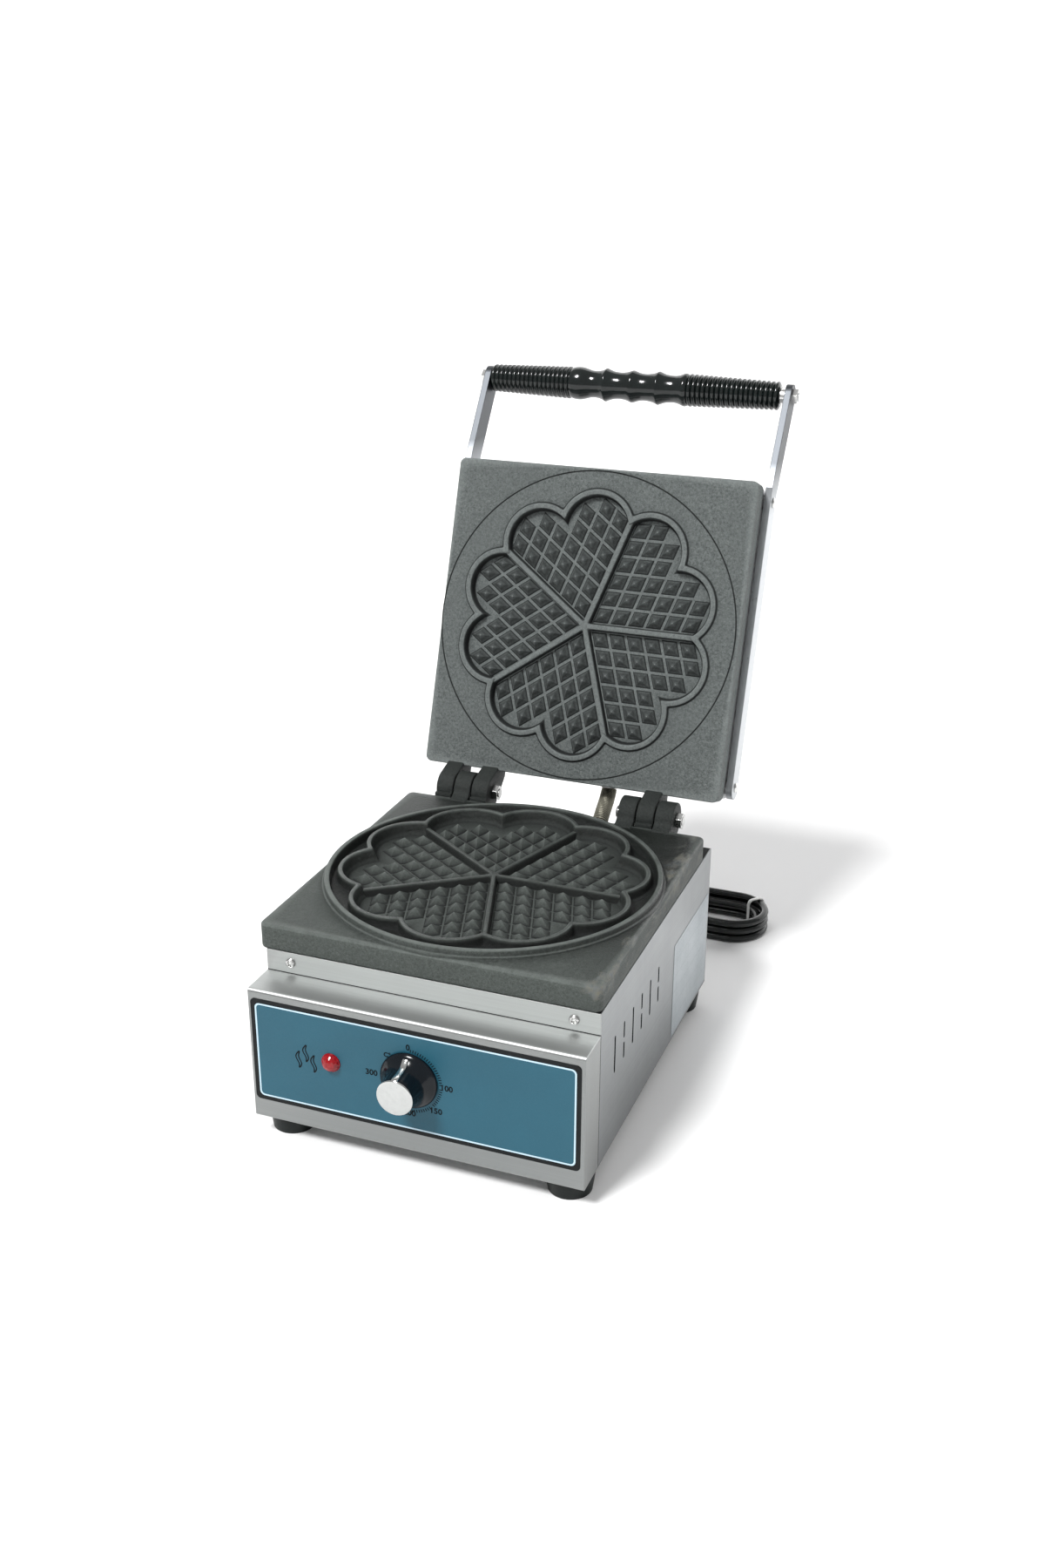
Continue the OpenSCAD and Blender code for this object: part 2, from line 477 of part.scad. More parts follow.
module handle_rod() lid() color("silver") xcyl(arm_l - 6, ha[0], ha[1], 4, arm_rr - arm_l + arm_t + 12);
grip0 = arm_l + arm_t + 0.2;
grip1 = arm_rr - 5.5;
// ringed ends and a waisted middle with three collars
function rings(x0, x1, r0, r1, n) = [for (i = [0:n - 1]) let (t = i / (n - 1), r = r0 + (r1 - r0) * t, x = x0 + (x1 - x0) * i / n, d = (x1 - x0) / n)
    each [[r - 1.1, x], [r, x + d * 0.3], [r, x + d * 0.7], [r - 1.1, x + d]]];
module handle_grip() lid() color([0.05, 0.05, 0.05]) translate([grip0, ha[0], ha[1]]) rotate([0, 90, 0]) difference() {
    rotate_extrude() polygon(concat([[0, 0]],
        rings(0, 80, 13, 15.1, 18),
        [[15.2, 83.5], [15.4, 88.5], [14, 94.5], [12.7, 100.5], [12.9, 106], [14.2, 110.5], [grip_r, 114.5], [14.2, 118.5], [12.8, 124],
         [12.7, 130], [13.7, 135.5], [15.2, 140.5], [13.7, 144.5], [12.8, 150], [13, 157], [14.2, 162], [grip_r, 166], [14.2, 170],
         [12.9, 175], [12.7, 180.5], [13.9, 186], [15.4, 190.5], [15.2, 193.5]],
        rings(195, grip1 - grip0, 15.1, 13, 19), [[0, grip1 - grip0]]));
    translate([0, 0, -1]) cylinder(r = 4.1, h = 300);
}
module handle_spacer() lid() color("silver") difference() {
    xcyl(grip1 + 0.2, ha[0], ha[1], 7, 5.1);
    xcyl(grip1 - 1, ha[0], ha[1], 4.05, 12);
}
module handle_nuts() lid() color("silver") for (x = [arm_l - 5, arm_rr + arm_t]) difference() {
    hexx(x, ha[0], ha[1], 13, 5);
    xcyl(x - 1, ha[0], ha[1], 4, 8);
}
module conduit_fitting_lower() place() color("silver") difference() {
    translate([37, 331, 0]) {
        translate([0, 0, top_z - 8]) cylinder(r = 5.9, h = 12);
        translate([0, 0, top_z]) cylinder(d = 20, h = 2.2, $fn = 6);
        translate([0, 0, top_z]) cylinder(r = 9, h = 3.4);
    }
    translate([37, 331, top_z - 10]) cylinder(r = 4, h = 12);
    translate([37, 331, top_z + 1.5]) cylinder(r = cond_r + 0.25, h = 12);
}
module conduit_fitting_upper() lid() color("silver") difference() {
    translate([31, py1 - 1, lid_z + 31]) rotate([-90, 0, 0]) {
        cylinder(r = 9, h = 3.4);
        cylinder(d = 20, h = 2, $fn = 6);
        translate([0, 0, -8]) cylinder(r = 5.9, h = 11);
    }
    translate([31, py1 - 12, lid_z + 31]) rotate([-90, 0, 0]) cylinder(r = 4, h = 13);
    translate([31, py1 + 0.4, lid_z + 31]) rotate([-90, 0, 0]) cylinder(r = 8, h = 12);
}
module power_conduit() place() color([0.6, 0.58, 0.5]) tube(cond_pts, cond_r, 12);

// ---------- cord ----------
module mains_cord() place() color([0.05, 0.05, 0.05]) tube(lead_pts, cord_r, 10);
module cord_tail() place() color([0.05, 0.05, 0.05]) tube(tail_pts, cord_r, 10);
module cord_coil() place() color([0.06, 0.06, 0.06]) translate([0, 492, 0]) difference() {
    union() {
        translate([9, -36, 0]) cube([120, 72, 24]);
        for (x = [9, 129]) translate([x, 0, 0]) cylinder(r = 36, h = 24);
    }
    translate([9, -20, -1]) cube([120, 40, 26]);
    for (x = [9, 129]) translate([x, 0, -1]) cylinder(r = 20, h = 26);
}
module cord_tie() place() color("white") translate([129, 492, 0]) rotate(48) translate([28, 0, 12.2]) difference() {
    translate([-9.4, -2, -12.2]) cube([18.8, 4, 26]);
    translate([-8.4, -3, -13]) cube([16.8, 6, 25.4]);
}
module plug() place() color([0.05, 0.05, 0.05]) translate([-58, 524, 18.5]) rotate([0, -90, 0]) {
    difference() {
        union() {
            cylinder(r1 = 5.4, r2 = 8, h = 24);
            translate([0, 0, 24]) cylinder(r1 = 8, r2 = 18.5, h = 8);
            translate([0, 0, 32]) cylinder(r = 18.5, h = 18);
        }
        translate([0, 0, -1]) cylinder(r = 4.02, h = 12);
    }
    for (s = [-1, 1]) translate([0, s * 9.5, 50]) cylinder(r = 2.4, h = 19);
}

body_shell();
control_fascia();
control_overlay();
rear_panel();
base_plate();
rubber_feet();
foot_screws();
strip_screws();
base_screws();
rear_screws();
control_knob();
knob_cap();
thermostat_spindle();
thermostat_body();
thermostat_bulb();
capillary();
pilot_lamp_lens();
pilot_lamp_body();
rating_label();
terminal_block();
cable_gland();
lower_plate();
plate_bolts();
lower_element();
lower_clamp();
lower_clamp_bolt();
lower_insulation();
insulation_tray();
hinge_bolts();
hinge_nuts();
upper_plate();
upper_element();
upper_clamp();
upper_clamp_bolt();
upper_insulation();
upper_cover();
cover_screws();
handle_arm_left();
handle_arm_right();
arm_bolts();
handle_rod();
handle_grip();
handle_spacer();
handle_nuts();
conduit_fitting_lower();
conduit_fitting_upper();
power_conduit();
mains_cord();
cord_coil();
cord_tail();
cord_tie();
plug();
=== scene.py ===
import math
import bpy
import bmesh
import numpy as np
from mathutils import Matrix, Vector


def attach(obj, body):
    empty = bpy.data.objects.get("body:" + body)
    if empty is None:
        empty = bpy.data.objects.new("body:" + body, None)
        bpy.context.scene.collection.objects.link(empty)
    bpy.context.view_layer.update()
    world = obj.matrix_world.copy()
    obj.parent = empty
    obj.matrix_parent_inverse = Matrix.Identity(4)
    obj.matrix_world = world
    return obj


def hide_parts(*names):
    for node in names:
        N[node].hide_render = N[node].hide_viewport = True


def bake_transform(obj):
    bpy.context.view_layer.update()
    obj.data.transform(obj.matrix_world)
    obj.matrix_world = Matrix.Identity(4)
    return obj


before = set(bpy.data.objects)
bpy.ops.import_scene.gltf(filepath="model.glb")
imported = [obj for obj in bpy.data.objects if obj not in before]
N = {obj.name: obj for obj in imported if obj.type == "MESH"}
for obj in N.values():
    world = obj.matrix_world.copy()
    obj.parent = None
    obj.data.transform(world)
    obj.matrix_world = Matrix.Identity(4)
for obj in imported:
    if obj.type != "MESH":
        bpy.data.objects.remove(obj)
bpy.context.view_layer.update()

scene = bpy.context.scene
pi = math.pi

# ------------------------------------------------------------------ frame helpers
OX, OY = 1.5, -260.1
HY, HZ, OPEN = 339.4, 178.3, math.radians(109.3)


def row(a):
    """Millimetres of the part's own drawing to metres of the shared frame."""
    a = np.asarray(a, float).reshape(-1, 3).copy()
    a[:, 0] += OX
    a[:, 1] += OY
    return a / 1000.0


def lid(a):
    """The same for what is drawn on the closed lid: turned to the open rest position."""
    a = np.asarray(a, float).reshape(-1, 3)
    y, z = a[:, 1] - HY, a[:, 2] - HZ
    c, s = math.cos(OPEN), math.sin(OPEN)
    return row(np.stack([a[:, 0], HY + y * c + z * s, HZ - y * s + z * c], 1))


# ------------------------------------------------------------------ camera
cam = bpy.data.cameras.new("camera")
cam.lens = 37.84
cam.sensor_width = 36.0
cam.sensor_fit = "AUTO"
cam.clip_start = 0.02
camera = bpy.data.objects.new("camera", cam)
yaw, pitch, roll = math.radians(21.01), math.radians(-22.78), math.radians(0.16)
fw = Vector((-math.sin(yaw) * math.cos(pitch), math.cos(yaw) * math.cos(pitch), math.sin(pitch)))
r0 = Vector((math.cos(yaw), math.sin(yaw), 0.0))
u0 = r0.cross(fw)
rr = r0 * math.cos(roll) + u0 * math.sin(roll)
uu = u0 * math.cos(roll) - r0 * math.sin(roll)
mw = Matrix((rr, uu, -fw)).transposed().to_4x4()
mw.translation = Vector((0.46511, -1.23317, 0.78147))
camera.matrix_world = mw
scene.collection.objects.link(camera)
scene.camera = camera


# ------------------------------------------------------------------ materials
class Mat:
    def __init__(self, name, color=(0.5, 0.5, 0.5), rough=0.5, metal=0.0, **sockets):
        self.m = bpy.data.materials.new(name)
        self.m.use_nodes = True
        self.nt = self.m.node_tree
        self.b = self.nt.nodes["Principled BSDF"]
        self.b.inputs["Base Color"].default_value = (*color, 1)
        self.b.inputs["Roughness"].default_value = rough
        self.b.inputs["Metallic"].default_value = metal
        for k, v in sockets.items():
            self.b.inputs[k.replace("_", " ")].default_value = v
        self.m.diffuse_color = (*color, 1)
        self.normal = None

    def node(self, kind, **props):
        n = self.nt.nodes.new(kind)
        for k, v in props.items():
            setattr(n, k, v)
        return n

    def put(self, socket, value):
        if isinstance(value, bpy.types.NodeSocket):
            self.nt.links.new(value, socket)
        elif isinstance(value, tuple) and len(value) == 3 and socket.type == "RGBA":
            socket.default_value = (*value, 1)
        else:
            socket.default_value = value

    def pos(self, scale=(1, 1, 1), rot=(0, 0, 0)):
        t = self.node("ShaderNodeTexCoord")
        m = self.node("ShaderNodeMapping")
        m.inputs["Scale"].default_value = scale
        m.inputs["Rotation"].default_value = rot
        self.nt.links.new(t.outputs["Object"], m.inputs["Vector"])
        return m.outputs[0]

    def noise(self, scale, detail=3.0, rough=0.55, stretch=(1, 1, 1), dist=0.0, rot=(0, 0, 0)):
        n = self.node("ShaderNodeTexNoise")
        n.inputs["Scale"].default_value = scale
        n.inputs["Detail"].default_value = detail
        n.inputs["Roughness"].default_value = rough
        n.inputs["Distortion"].default_value = dist
        self.nt.links.new(self.pos(stretch, rot), n.inputs["Vector"])
        return n.outputs["Fac"]

    def cells(self, scale, feature="F1", stretch=(1, 1, 1)):
        n = self.node("ShaderNodeTexVoronoi", feature=feature)
        n.inputs["Scale"].default_value = scale
        self.nt.links.new(self.pos(stretch), n.inputs["Vector"])
        return n.outputs["Distance"]

    def attr(self, name):
        n = self.node("ShaderNodeAttribute", attribute_name=name)
        return n.outputs["Fac"]

    def ramp(self, fac, lo, hi, a=0.0, b=1.0):
        n = self.node("ShaderNodeMapRange")
        n.inputs["From Min"].default_value = lo
        n.inputs["From Max"].default_value = hi
        n.inputs["To Min"].default_value = a
        n.inputs["To Max"].default_value = b
        self.put(n.inputs["Value"], fac)
        return n.outputs[0]

    def mix(self, fac, a, b, mode="MIX"):
        n = self.node("ShaderNodeMix", data_type="RGBA", blend_type=mode)
        self.put(n.inputs[0], fac)
        self.put(n.inputs[6], a)
        self.put(n.inputs[7], b)
        return n.outputs[2]

    def math(self, op, a, b=0.0):
        n = self.node("ShaderNodeMath", operation=op)
        self.put(n.inputs[0], a)
        self.put(n.inputs[1], b)
        return n.outputs[0]

    def bevel(self, radius, samples=6):
        n = self.node("ShaderNodeBevel", samples=samples)
        n.inputs["Radius"].default_value = radius
        self.normal = n.outputs[0]
        return self

    def bump(self, height, distance, strength=1.0):
        n = self.node("ShaderNodeBump")
        n.inputs["Strength"].default_value = strength
        n.inputs["Distance"].default_value = distance
        self.put(n.inputs["Height"], height)
        if self.normal is not None:
            self.nt.links.new(self.normal, n.inputs["Normal"])
        self.normal = n.outputs[0]
        return self

    def color(self, value):
        self.put(self.b.inputs["Base Color"], value)
        return self

    def rough(self, value):
        self.put(self.b.inputs["Roughness"], value)
        return self

    def done(self):
        if self.normal is not None:
            self.nt.links.new(self.normal, self.b.inputs["Normal"])
        return self.m


def brushed(name, tone, grain, rough=(0.28, 0.38), radius=0.0008, warm=0.0, streak=0.05, painted_light_band=None, painted_slot_shade=False, joint_shadow_z=None):
    """Brushed sheet metal. grain is how fast the brush lines vary along each axis.
    zone: (axis, from, to, tone, roughness), a band along one axis repainted with another tone and roughness: painted
    light and shade, a brighter ledge and strip and a darker upper arm.
    slots: the vent cut faces and the shell's inside faces painted near-black, painted shade.
    joint: height of a painted shadow line along the foot of the strip."""
    m = Mat(name, tone, 0.3, 1.0)
    if radius:
        m.bevel(radius)
    lines = m.noise(1.0, 2.0, 0.6, grain)
    cloud = m.noise(7.0, 4.0, 0.6)
    smear = m.noise(26.0, 5.0, 0.7, (1, 1, 0.25))

    def toned(tn):
        c = m.mix(m.ramp(lines, 0.3, 0.7), tuple(t * (1 - streak) for t in tn), tuple(min(1, t * (1 + streak * 0.6)) for t in tn))
        return m.mix(m.ramp(cloud, 0.35, 0.75, 0.0, 0.28), c, (tn[0] * 0.86 + warm, tn[1] * 0.86 + warm * 0.6, tn[2] * 0.85))

    c = toned(tone)
    r = m.math("ADD", m.ramp(lines, 0.25, 0.75, rough[0], rough[1]), m.ramp(smear, 0.4, 0.8, 0.0, 0.06))
    # painted light and shade: inside the band the colour becomes a lighter or darker copy of the same steel, standing
    # in for how light falls there
    if painted_light_band:
        ax, lo, hi, tn2, r2 = painted_light_band
        sep = m.node("ShaderNodeSeparateXYZ")
        m.nt.links.new(m.pos(), sep.inputs[0])
        z = m.ramp(sep.outputs[ax], lo, hi)
        c = m.mix(z, c, toned(tn2))
        r = m.math("ADD", m.math("MULTIPLY", r, m.math("SUBTRACT", 1.0, z)), m.math("MULTIPLY", z, r2))
    if painted_slot_shade:
        # painted shade: the vent cut faces and the shell's inside faces behind the strip are painted near-black,
        # standing in for the shade inside the openings
        geo = m.node("ShaderNodeNewGeometry")
        nrm = m.node("ShaderNodeSeparateXYZ")
        m.nt.links.new(geo.outputs["True Normal"], nrm.inputs[0])
        pp = m.node("ShaderNodeSeparateXYZ")
        m.nt.links.new(m.pos(), pp.inputs[0])
        k = m.ramp(m.math("ABSOLUTE", nrm.outputs[0]), 0.75, 0.65)
        for ax, a, b in ((1, (64 + OY) / 1000.0, (192 + OY) / 1000.0), (2, 0.080, 0.117)):
            k = m.math("MULTIPLY", k, m.ramp(pp.outputs[ax], a, a + 0.0005))
            k = m.math("MULTIPLY", k, m.ramp(pp.outputs[ax], b, b - 0.0005))
        # the shell's inside faces behind the strip, painted near-black as shade
        inner = m.ramp(m.math("ABSOLUTE", m.math("SUBTRACT", pp.outputs[0], 0.0015)), 0.1392, 0.1388)
        inner = m.math("MULTIPLY", inner, m.ramp(pp.outputs[1], STRIP_Y + 0.0016, STRIP_Y + 0.0022))
        k = m.math("MAXIMUM", k, m.math("MULTIPLY", inner, 0.9))
        c = m.mix(k, c, (0.006, 0.006, 0.006))
        r = m.math("ADD", r, m.math("MULTIPLY", k, 0.4))
    # painted shadow: a thin near-black line along the foot of the strip, where it meets the ledge
    if joint_shadow_z:
        pz = m.node("ShaderNodeSeparateXYZ")
        m.nt.links.new(m.pos(), pz.inputs[0])
        j = m.math("MULTIPLY", m.ramp(pz.outputs[2], joint_shadow_z + 0.0002, joint_shadow_z - 0.0002), m.ramp(pz.outputs[1], STRIP_Y + 0.0016, STRIP_Y + 0.0008))
        c = m.mix(j, c, (0.008, 0.008, 0.008))
    m.color(c)
    m.rough(r)
    m.bump(lines, 0.00002, 0.4)
    return m.done()


STRIP_Y = (33 + OY) / 1000.0
M = {}
# the ledge on top of the fascia is painted brighter: painted light, standing in for the light it catches from above
M["steel_front"] = brushed("steel_front", (0.29, 0.30, 0.297), (5, 900, 900), painted_light_band=(2, 0.1335, 0.1350, (0.50, 0.515, 0.51), 0.50))
# the strip is painted brighter (painted reflection), the vent cuts and inside faces near-black (painted shade), with a
# painted shadow line at the strip's foot
M["steel_body"] = brushed("steel_body", (0.245, 0.257, 0.263), (5, 5, 900), painted_light_band=(1, STRIP_Y + 0.0012, STRIP_Y + 0.0004, (0.39, 0.40, 0.395), 0.42), painted_slot_shade=True, joint_shadow_z=0.1362)
M["steel_rear"] = brushed("steel_rear", (0.36, 0.37, 0.37), (5, 5, 700), radius=0)
M["cover"] = brushed("cover_steel", (0.44, 0.45, 0.46), (700, 5, 5), rough=(0.32, 0.45))
# the arm's lower part is painted bright and its upper part dark: painted light and shade, a lit and a shaded copy of
# one steel
M["arm"] = brushed("arm_steel", (0.52, 0.54, 0.56), (500, 500, 12), rough=(0.26, 0.36), radius=0.0009, painted_light_band=(2, 0.43, 0.475, (0.074, 0.079, 0.086), 0.42))


def bright(name, tone=(0.75, 0.75, 0.74), rough=0.22, dull=0.12, radius=0.0004):
    m = Mat(name, tone, rough, 1.0)
    m.bevel(radius)
    n = m.noise(180.0, 4.0, 0.6)
    m.color(m.mix(m.ramp(n, 0.35, 0.7), tuple(t * 0.86 for t in tone), tone))
    m.rough(m.ramp(n, 0.3, 0.7, rough, rough + dull))
    m.bump(m.noise(420.0, 3.0), 0.00003, 0.3)
    return m.done()


M["zinc"] = bright("zinc_plate", (0.68, 0.69, 0.70), 0.26, 0.16)
M["nut"] = bright("nut_bright", (0.74, 0.74, 0.73), 0.18, 0.12)
M["copper"] = bright("copper_tube", (0.72, 0.38, 0.22), 0.28, 0.18)

# chrome insert of the knob
m = Mat("chrome", (0.62, 0.63, 0.62), 0.10, 1.0)
n = m.noise(240.0, 4.0, 0.65)
m.color(m.mix(m.ramp(n, 0.4, 0.8, 0.0, 0.5), (0.60, 0.61, 0.60), (0.48, 0.49, 0.48)))
m.rough(m.ramp(n, 0.35, 0.75, 0.08, 0.18))
m.bump(m.noise(90.0, 2.0), 0.00004, 0.25)
M["chrome"] = m.done()


def cast(name, dark, light, grit, rough, attr_wear=True, oil=0.0, radius=0.0, tint=(0.105, 0.115, 0.11), oily=None):
    """Sand-cast iron: pitted skin, paler worn edges, painted shade (near-black, by the dark attribute) in corners,
    grooves and recesses, oil film where it was greased.
    """
    m = Mat(name, dark, 0.6, 0.0)
    m.b.inputs["Specular IOR Level"].default_value = 0.35
    if oil:
        m.b.inputs["Coat Weight"].default_value = oil
        m.b.inputs["Coat Roughness"].default_value = 0.22
    if radius:
        m.bevel(radius)
    g1 = m.noise(grit, 6.0, 0.75)
    g2 = m.noise(grit * 3.1, 3.0, 0.7)
    cl = m.noise(24.0, 5.0, 0.65)
    c = m.mix(m.ramp(g1, 0.32, 0.68), dark, light)
    c = m.mix(m.ramp(g2, 0.52, 0.74, 0.0, 0.55), c, tuple(min(1, t * 1.7 + 0.012) for t in light))
    c = m.mix(m.ramp(cl, 0.4, 0.72, 0.0, 0.45), c, tint)
    r = m.ramp(g1, 0.3, 0.7, rough[0], rough[1])
    if oily:
        o = m.attr("oil")
        on = m.math("MULTIPLY", o, m.ramp(m.noise(16.0, 5.0, 0.65), 0.2, 0.5, 0.75, 1.0))
        oc = m.mix(m.ramp(g1, 0.32, 0.68), oily[0], oily[1])
        c = m.mix(on, c, oc)
        r = m.math("SUBTRACT", r, m.math("MULTIPLY", on, 0.36))
    if attr_wear:
        w = m.attr("wear")
        wn = m.math("MULTIPLY", w, m.ramp(m.noise(70.0, 5.0, 0.7), 0.25, 0.7, 0.35, 1.0))
        c = m.mix(wn, c, tuple(min(1, t * 2.2 + 0.035) for t in light))
        # painted shade: the dark attribute turns the colour near-black at wall feet, grooves, the trough and the
        # pyramids' feet and flanks, where shade falls
        d = m.attr("dark")
        c = m.mix(m.ramp(d, 0.0, 1.0, 0.0, 0.92), c, (0.004, 0.005, 0.005))
        s = m.attr("scuff")
        sn = m.noise(48.0, 6.0, 0.7, (1, 0.45, 1))
        sm = m.math("MULTIPLY", s, m.ramp(sn, 0.50, 0.60))
        tan = m.mix(m.ramp(m.noise(150.0, 4.0), 0.35, 0.65), (0.17, 0.165, 0.135), (0.125, 0.14, 0.145))
        c = m.mix(sm, c, tan)
        r = m.math("ADD", r, m.math("MULTIPLY", d, 0.25))
    m.color(c)
    m.rough(r)
    m.bump(m.math("ADD", g1, m.math("MULTIPLY", g2, 0.45)), 0.0011, 0.95)
    return m.done()


M["cast_low"] = cast("cast_lower", (0.028, 0.034, 0.030), (0.098, 0.112, 0.104), 430.0, (0.60, 0.80), tint=(0.050, 0.058, 0.054),
                     oily=((0.0022, 0.0032, 0.0025), (0.0135, 0.0168, 0.0146)))
M["cast_up"] = cast("cast_upper", (0.036, 0.043, 0.042), (0.158, 0.175, 0.171), 430.0, (0.56, 0.80), tint=(0.088, 0.099, 0.098))
M["cast_ear"] = cast("cast_ear", (0.007, 0.0090, 0.0082), (0.026, 0.031, 0.0285), 430.0, (0.42, 0.60), attr_wear=False, tint=(0.020, 0.024, 0.022))


def plastic(name, tone, rough, coat=0.0, grain=600.0, depth=0.00003, radius=0.0, vary=0.25, spec=0.5):
    m = Mat(name, tone, rough, 0.0)
    m.b.inputs["Specular IOR Level"].default_value = spec
    if coat:
        m.b.inputs["Coat Weight"].default_value = coat
        m.b.inputs["Coat Roughness"].default_value = 0.08
    if radius:
        m.bevel(radius)
    n = m.noise(grain, 3.0, 0.6)
    cl = m.noise(35.0, 4.0, 0.6)
    m.color(m.mix(m.ramp(cl, 0.3, 0.7), tuple(t * (1 - vary) for t in tone), tuple(min(1, t * (1 + vary)) for t in tone)))
    m.rough(m.ramp(cl, 0.3, 0.75, rough * 0.8, rough * 1.25))
    m.bump(n, depth, 0.5)
    return m.done()


M["grip"] = plastic("grip_black", (0.0038, 0.0068, 0.0064), 0.15, grain=260.0, depth=0.00003, spec=0.55)
M["knob"] = plastic("knob_black", (0.0035, 0.0055, 0.0080), 0.14, grain=300.0, depth=0.00002, spec=0.28)
M["cord"] = plastic("cord_black", (0.0035, 0.0050, 0.0045), 0.17, grain=240.0, depth=0.00003, spec=0.38)
M["plug"] = plastic("plug_black", (0.012, 0.013, 0.013), 0.38, grain=900.0, depth=0.00006)
M["gland"] = plastic("gland_black", (0.014, 0.015, 0.015), 0.42, grain=900.0, depth=0.00005)
M["rubber"] = plastic("foot_rubber", (0.0065, 0.0095, 0.0090), 0.42, grain=700.0, depth=0.00010, radius=0.0012, spec=0.22)
M["white"] = plastic("white_plastic", (0.72, 0.72, 0.70), 0.4, vary=0.06)
M["ceramic"] = plastic("ceramic_tan", (0.55, 0.50, 0.40), 0.7, vary=0.1, grain=300.0, depth=0.0001)
M["wool"] = plastic("insulation", (0.62, 0.56, 0.36), 0.95, vary=0.18, grain=160.0, depth=0.0012)
M["element"] = plastic("element_sheath", (0.09, 0.08, 0.07), 0.5, vary=0.3, grain=400.0, depth=0.00005)
M["tie"] = plastic("tie_white", (0.80, 0.80, 0.78), 0.38, vary=0.05, grain=500.0, depth=0.00003)
M["ink"] = plastic("ink_black", (0.0030, 0.0045, 0.0055), 0.6, vary=0.2, grain=900.0, depth=0.00001, spec=0.12)
M["border"] = plastic("border_black", (0.0045, 0.0058, 0.0065), 0.36, vary=0.2, grain=900.0, depth=0.00001, spec=0.2)
M["pale"] = plastic("pale_line", (0.50, 0.66, 0.76), 0.42, vary=0.05, grain=900.0, depth=0.00001)

# teal printed field, slightly mottled under a satin film
m = Mat("overlay_teal", (0.045, 0.16, 0.215), 0.42)
m.b.inputs["Specular IOR Level"].default_value = 0.4
a = m.noise(14.0, 4.0, 0.6)
b = m.noise(900.0, 3.0, 0.6)
c = m.mix(m.ramp(a, 0.3, 0.7), (0.0095, 0.080, 0.122), (0.0125, 0.093, 0.140))
c = m.mix(m.ramp(b, 0.4, 0.7, 0.0, 0.25), c, (0.024, 0.110, 0.158))
m.color(c)
m.rough(m.ramp(a, 0.3, 0.7, 0.36, 0.48))
m.bump(b, 0.000015, 0.5)
M["teal"] = m.done()

# red moulded lens
m = Mat("lens_red", (0.26, 0.003, 0.007), 0.08)
m.b.inputs["Specular IOR Level"].default_value = 0.4
m.b.inputs["Coat Weight"].default_value = 0.15
m.b.inputs["Coat Roughness"].default_value = 0.05
m.b.inputs["Subsurface Weight"].default_value = 0.06
m.b.inputs["Subsurface Radius"].default_value = (0.004, 0.001, 0.001)
a = m.noise(500.0, 3.0, 0.6)
m.color(m.mix(m.ramp(a, 0.3, 0.7), (0.20, 0.002, 0.005), (0.34, 0.004, 0.009)))
m.rough(m.ramp(a, 0.3, 0.7, 0.07, 0.16))
m.bump(a, 0.00002, 0.4)
M["lens"] = m.done()

# silvery sticker: faint ruled boxes, nothing written on it
m = Mat("label_silver", (0.62, 0.65, 0.68), 0.4, 0.35)
a = m.noise(30.0, 4.0, 0.6)
b = m.noise(800.0, 2.0, 0.6)
w1 = m.node("ShaderNodeTexWave", wave_type="BANDS", bands_direction="Z")
w1.inputs["Scale"].default_value = 22.0
m.nt.links.new(m.pos(), w1.inputs["Vector"])
w2 = m.node("ShaderNodeTexWave", wave_type="BANDS", bands_direction="Y")
w2.inputs["Scale"].default_value = 9.0
m.nt.links.new(m.pos(), w2.inputs["Vector"])
ln = m.math("MAXIMUM", m.ramp(w1.outputs["Fac"], 0.985, 1.0), m.ramp(w2.outputs["Fac"], 0.997, 1.0))
c = m.mix(m.ramp(a, 0.3, 0.7), (0.30, 0.335, 0.355), (0.38, 0.415, 0.435))
c = m.mix(m.math("MULTIPLY", ln, 0.35), c, (0.20, 0.22, 0.24))
m.color(c)
m.rough(m.ramp(b, 0.3, 0.7, 0.32, 0.46))
m.bump(b, 0.00001, 0.4)
M["label"] = m.done()

# spiral conduit: dull brassy zinc, with painted shade between the turns
m = Mat("conduit_metal", (0.36, 0.34, 0.28), 0.5, 0.6)
a = m.noise(300.0, 4.0, 0.6)
c = m.mix(m.ramp(a, 0.3, 0.7), (0.26, 0.25, 0.195), (0.40, 0.385, 0.31))
# painted shade in the grooves between the turns
c = m.mix(m.ramp(m.attr("dark"), 0.0, 0.8, 0.0, 0.95), c, (0.02, 0.019, 0.015))
m.color(c)
m.rough(m.ramp(a, 0.3, 0.7, 0.42, 0.58))
m.bump(a, 0.00004, 0.4)
M["conduit"] = m.done()


# ------------------------------------------------------------------ mesh helpers
def make(name, verts, faces, mat, body, attrs=None, sharp=35.0, place=row, slot=None):
    me = bpy.data.meshes.new(name)
    me.from_pydata([tuple(v) for v in place(verts)], [], [tuple(int(i) for i in f) for f in faces])
    me.validate()
    for k, v in (attrs or {}).items():
        at = me.attributes.new(k, "FLOAT", "POINT")
        at.data.foreach_set("value", np.asarray(v, np.float32))
    me.shade_smooth()
    if sharp is not None:
        me.set_sharp_from_angle(angle=math.radians(sharp))
    me.materials.append(M[mat])
    ob = bpy.data.objects.new(name, me)
    scene.collection.objects.link(ob)
    if body:
        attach(ob, body)
    return ob


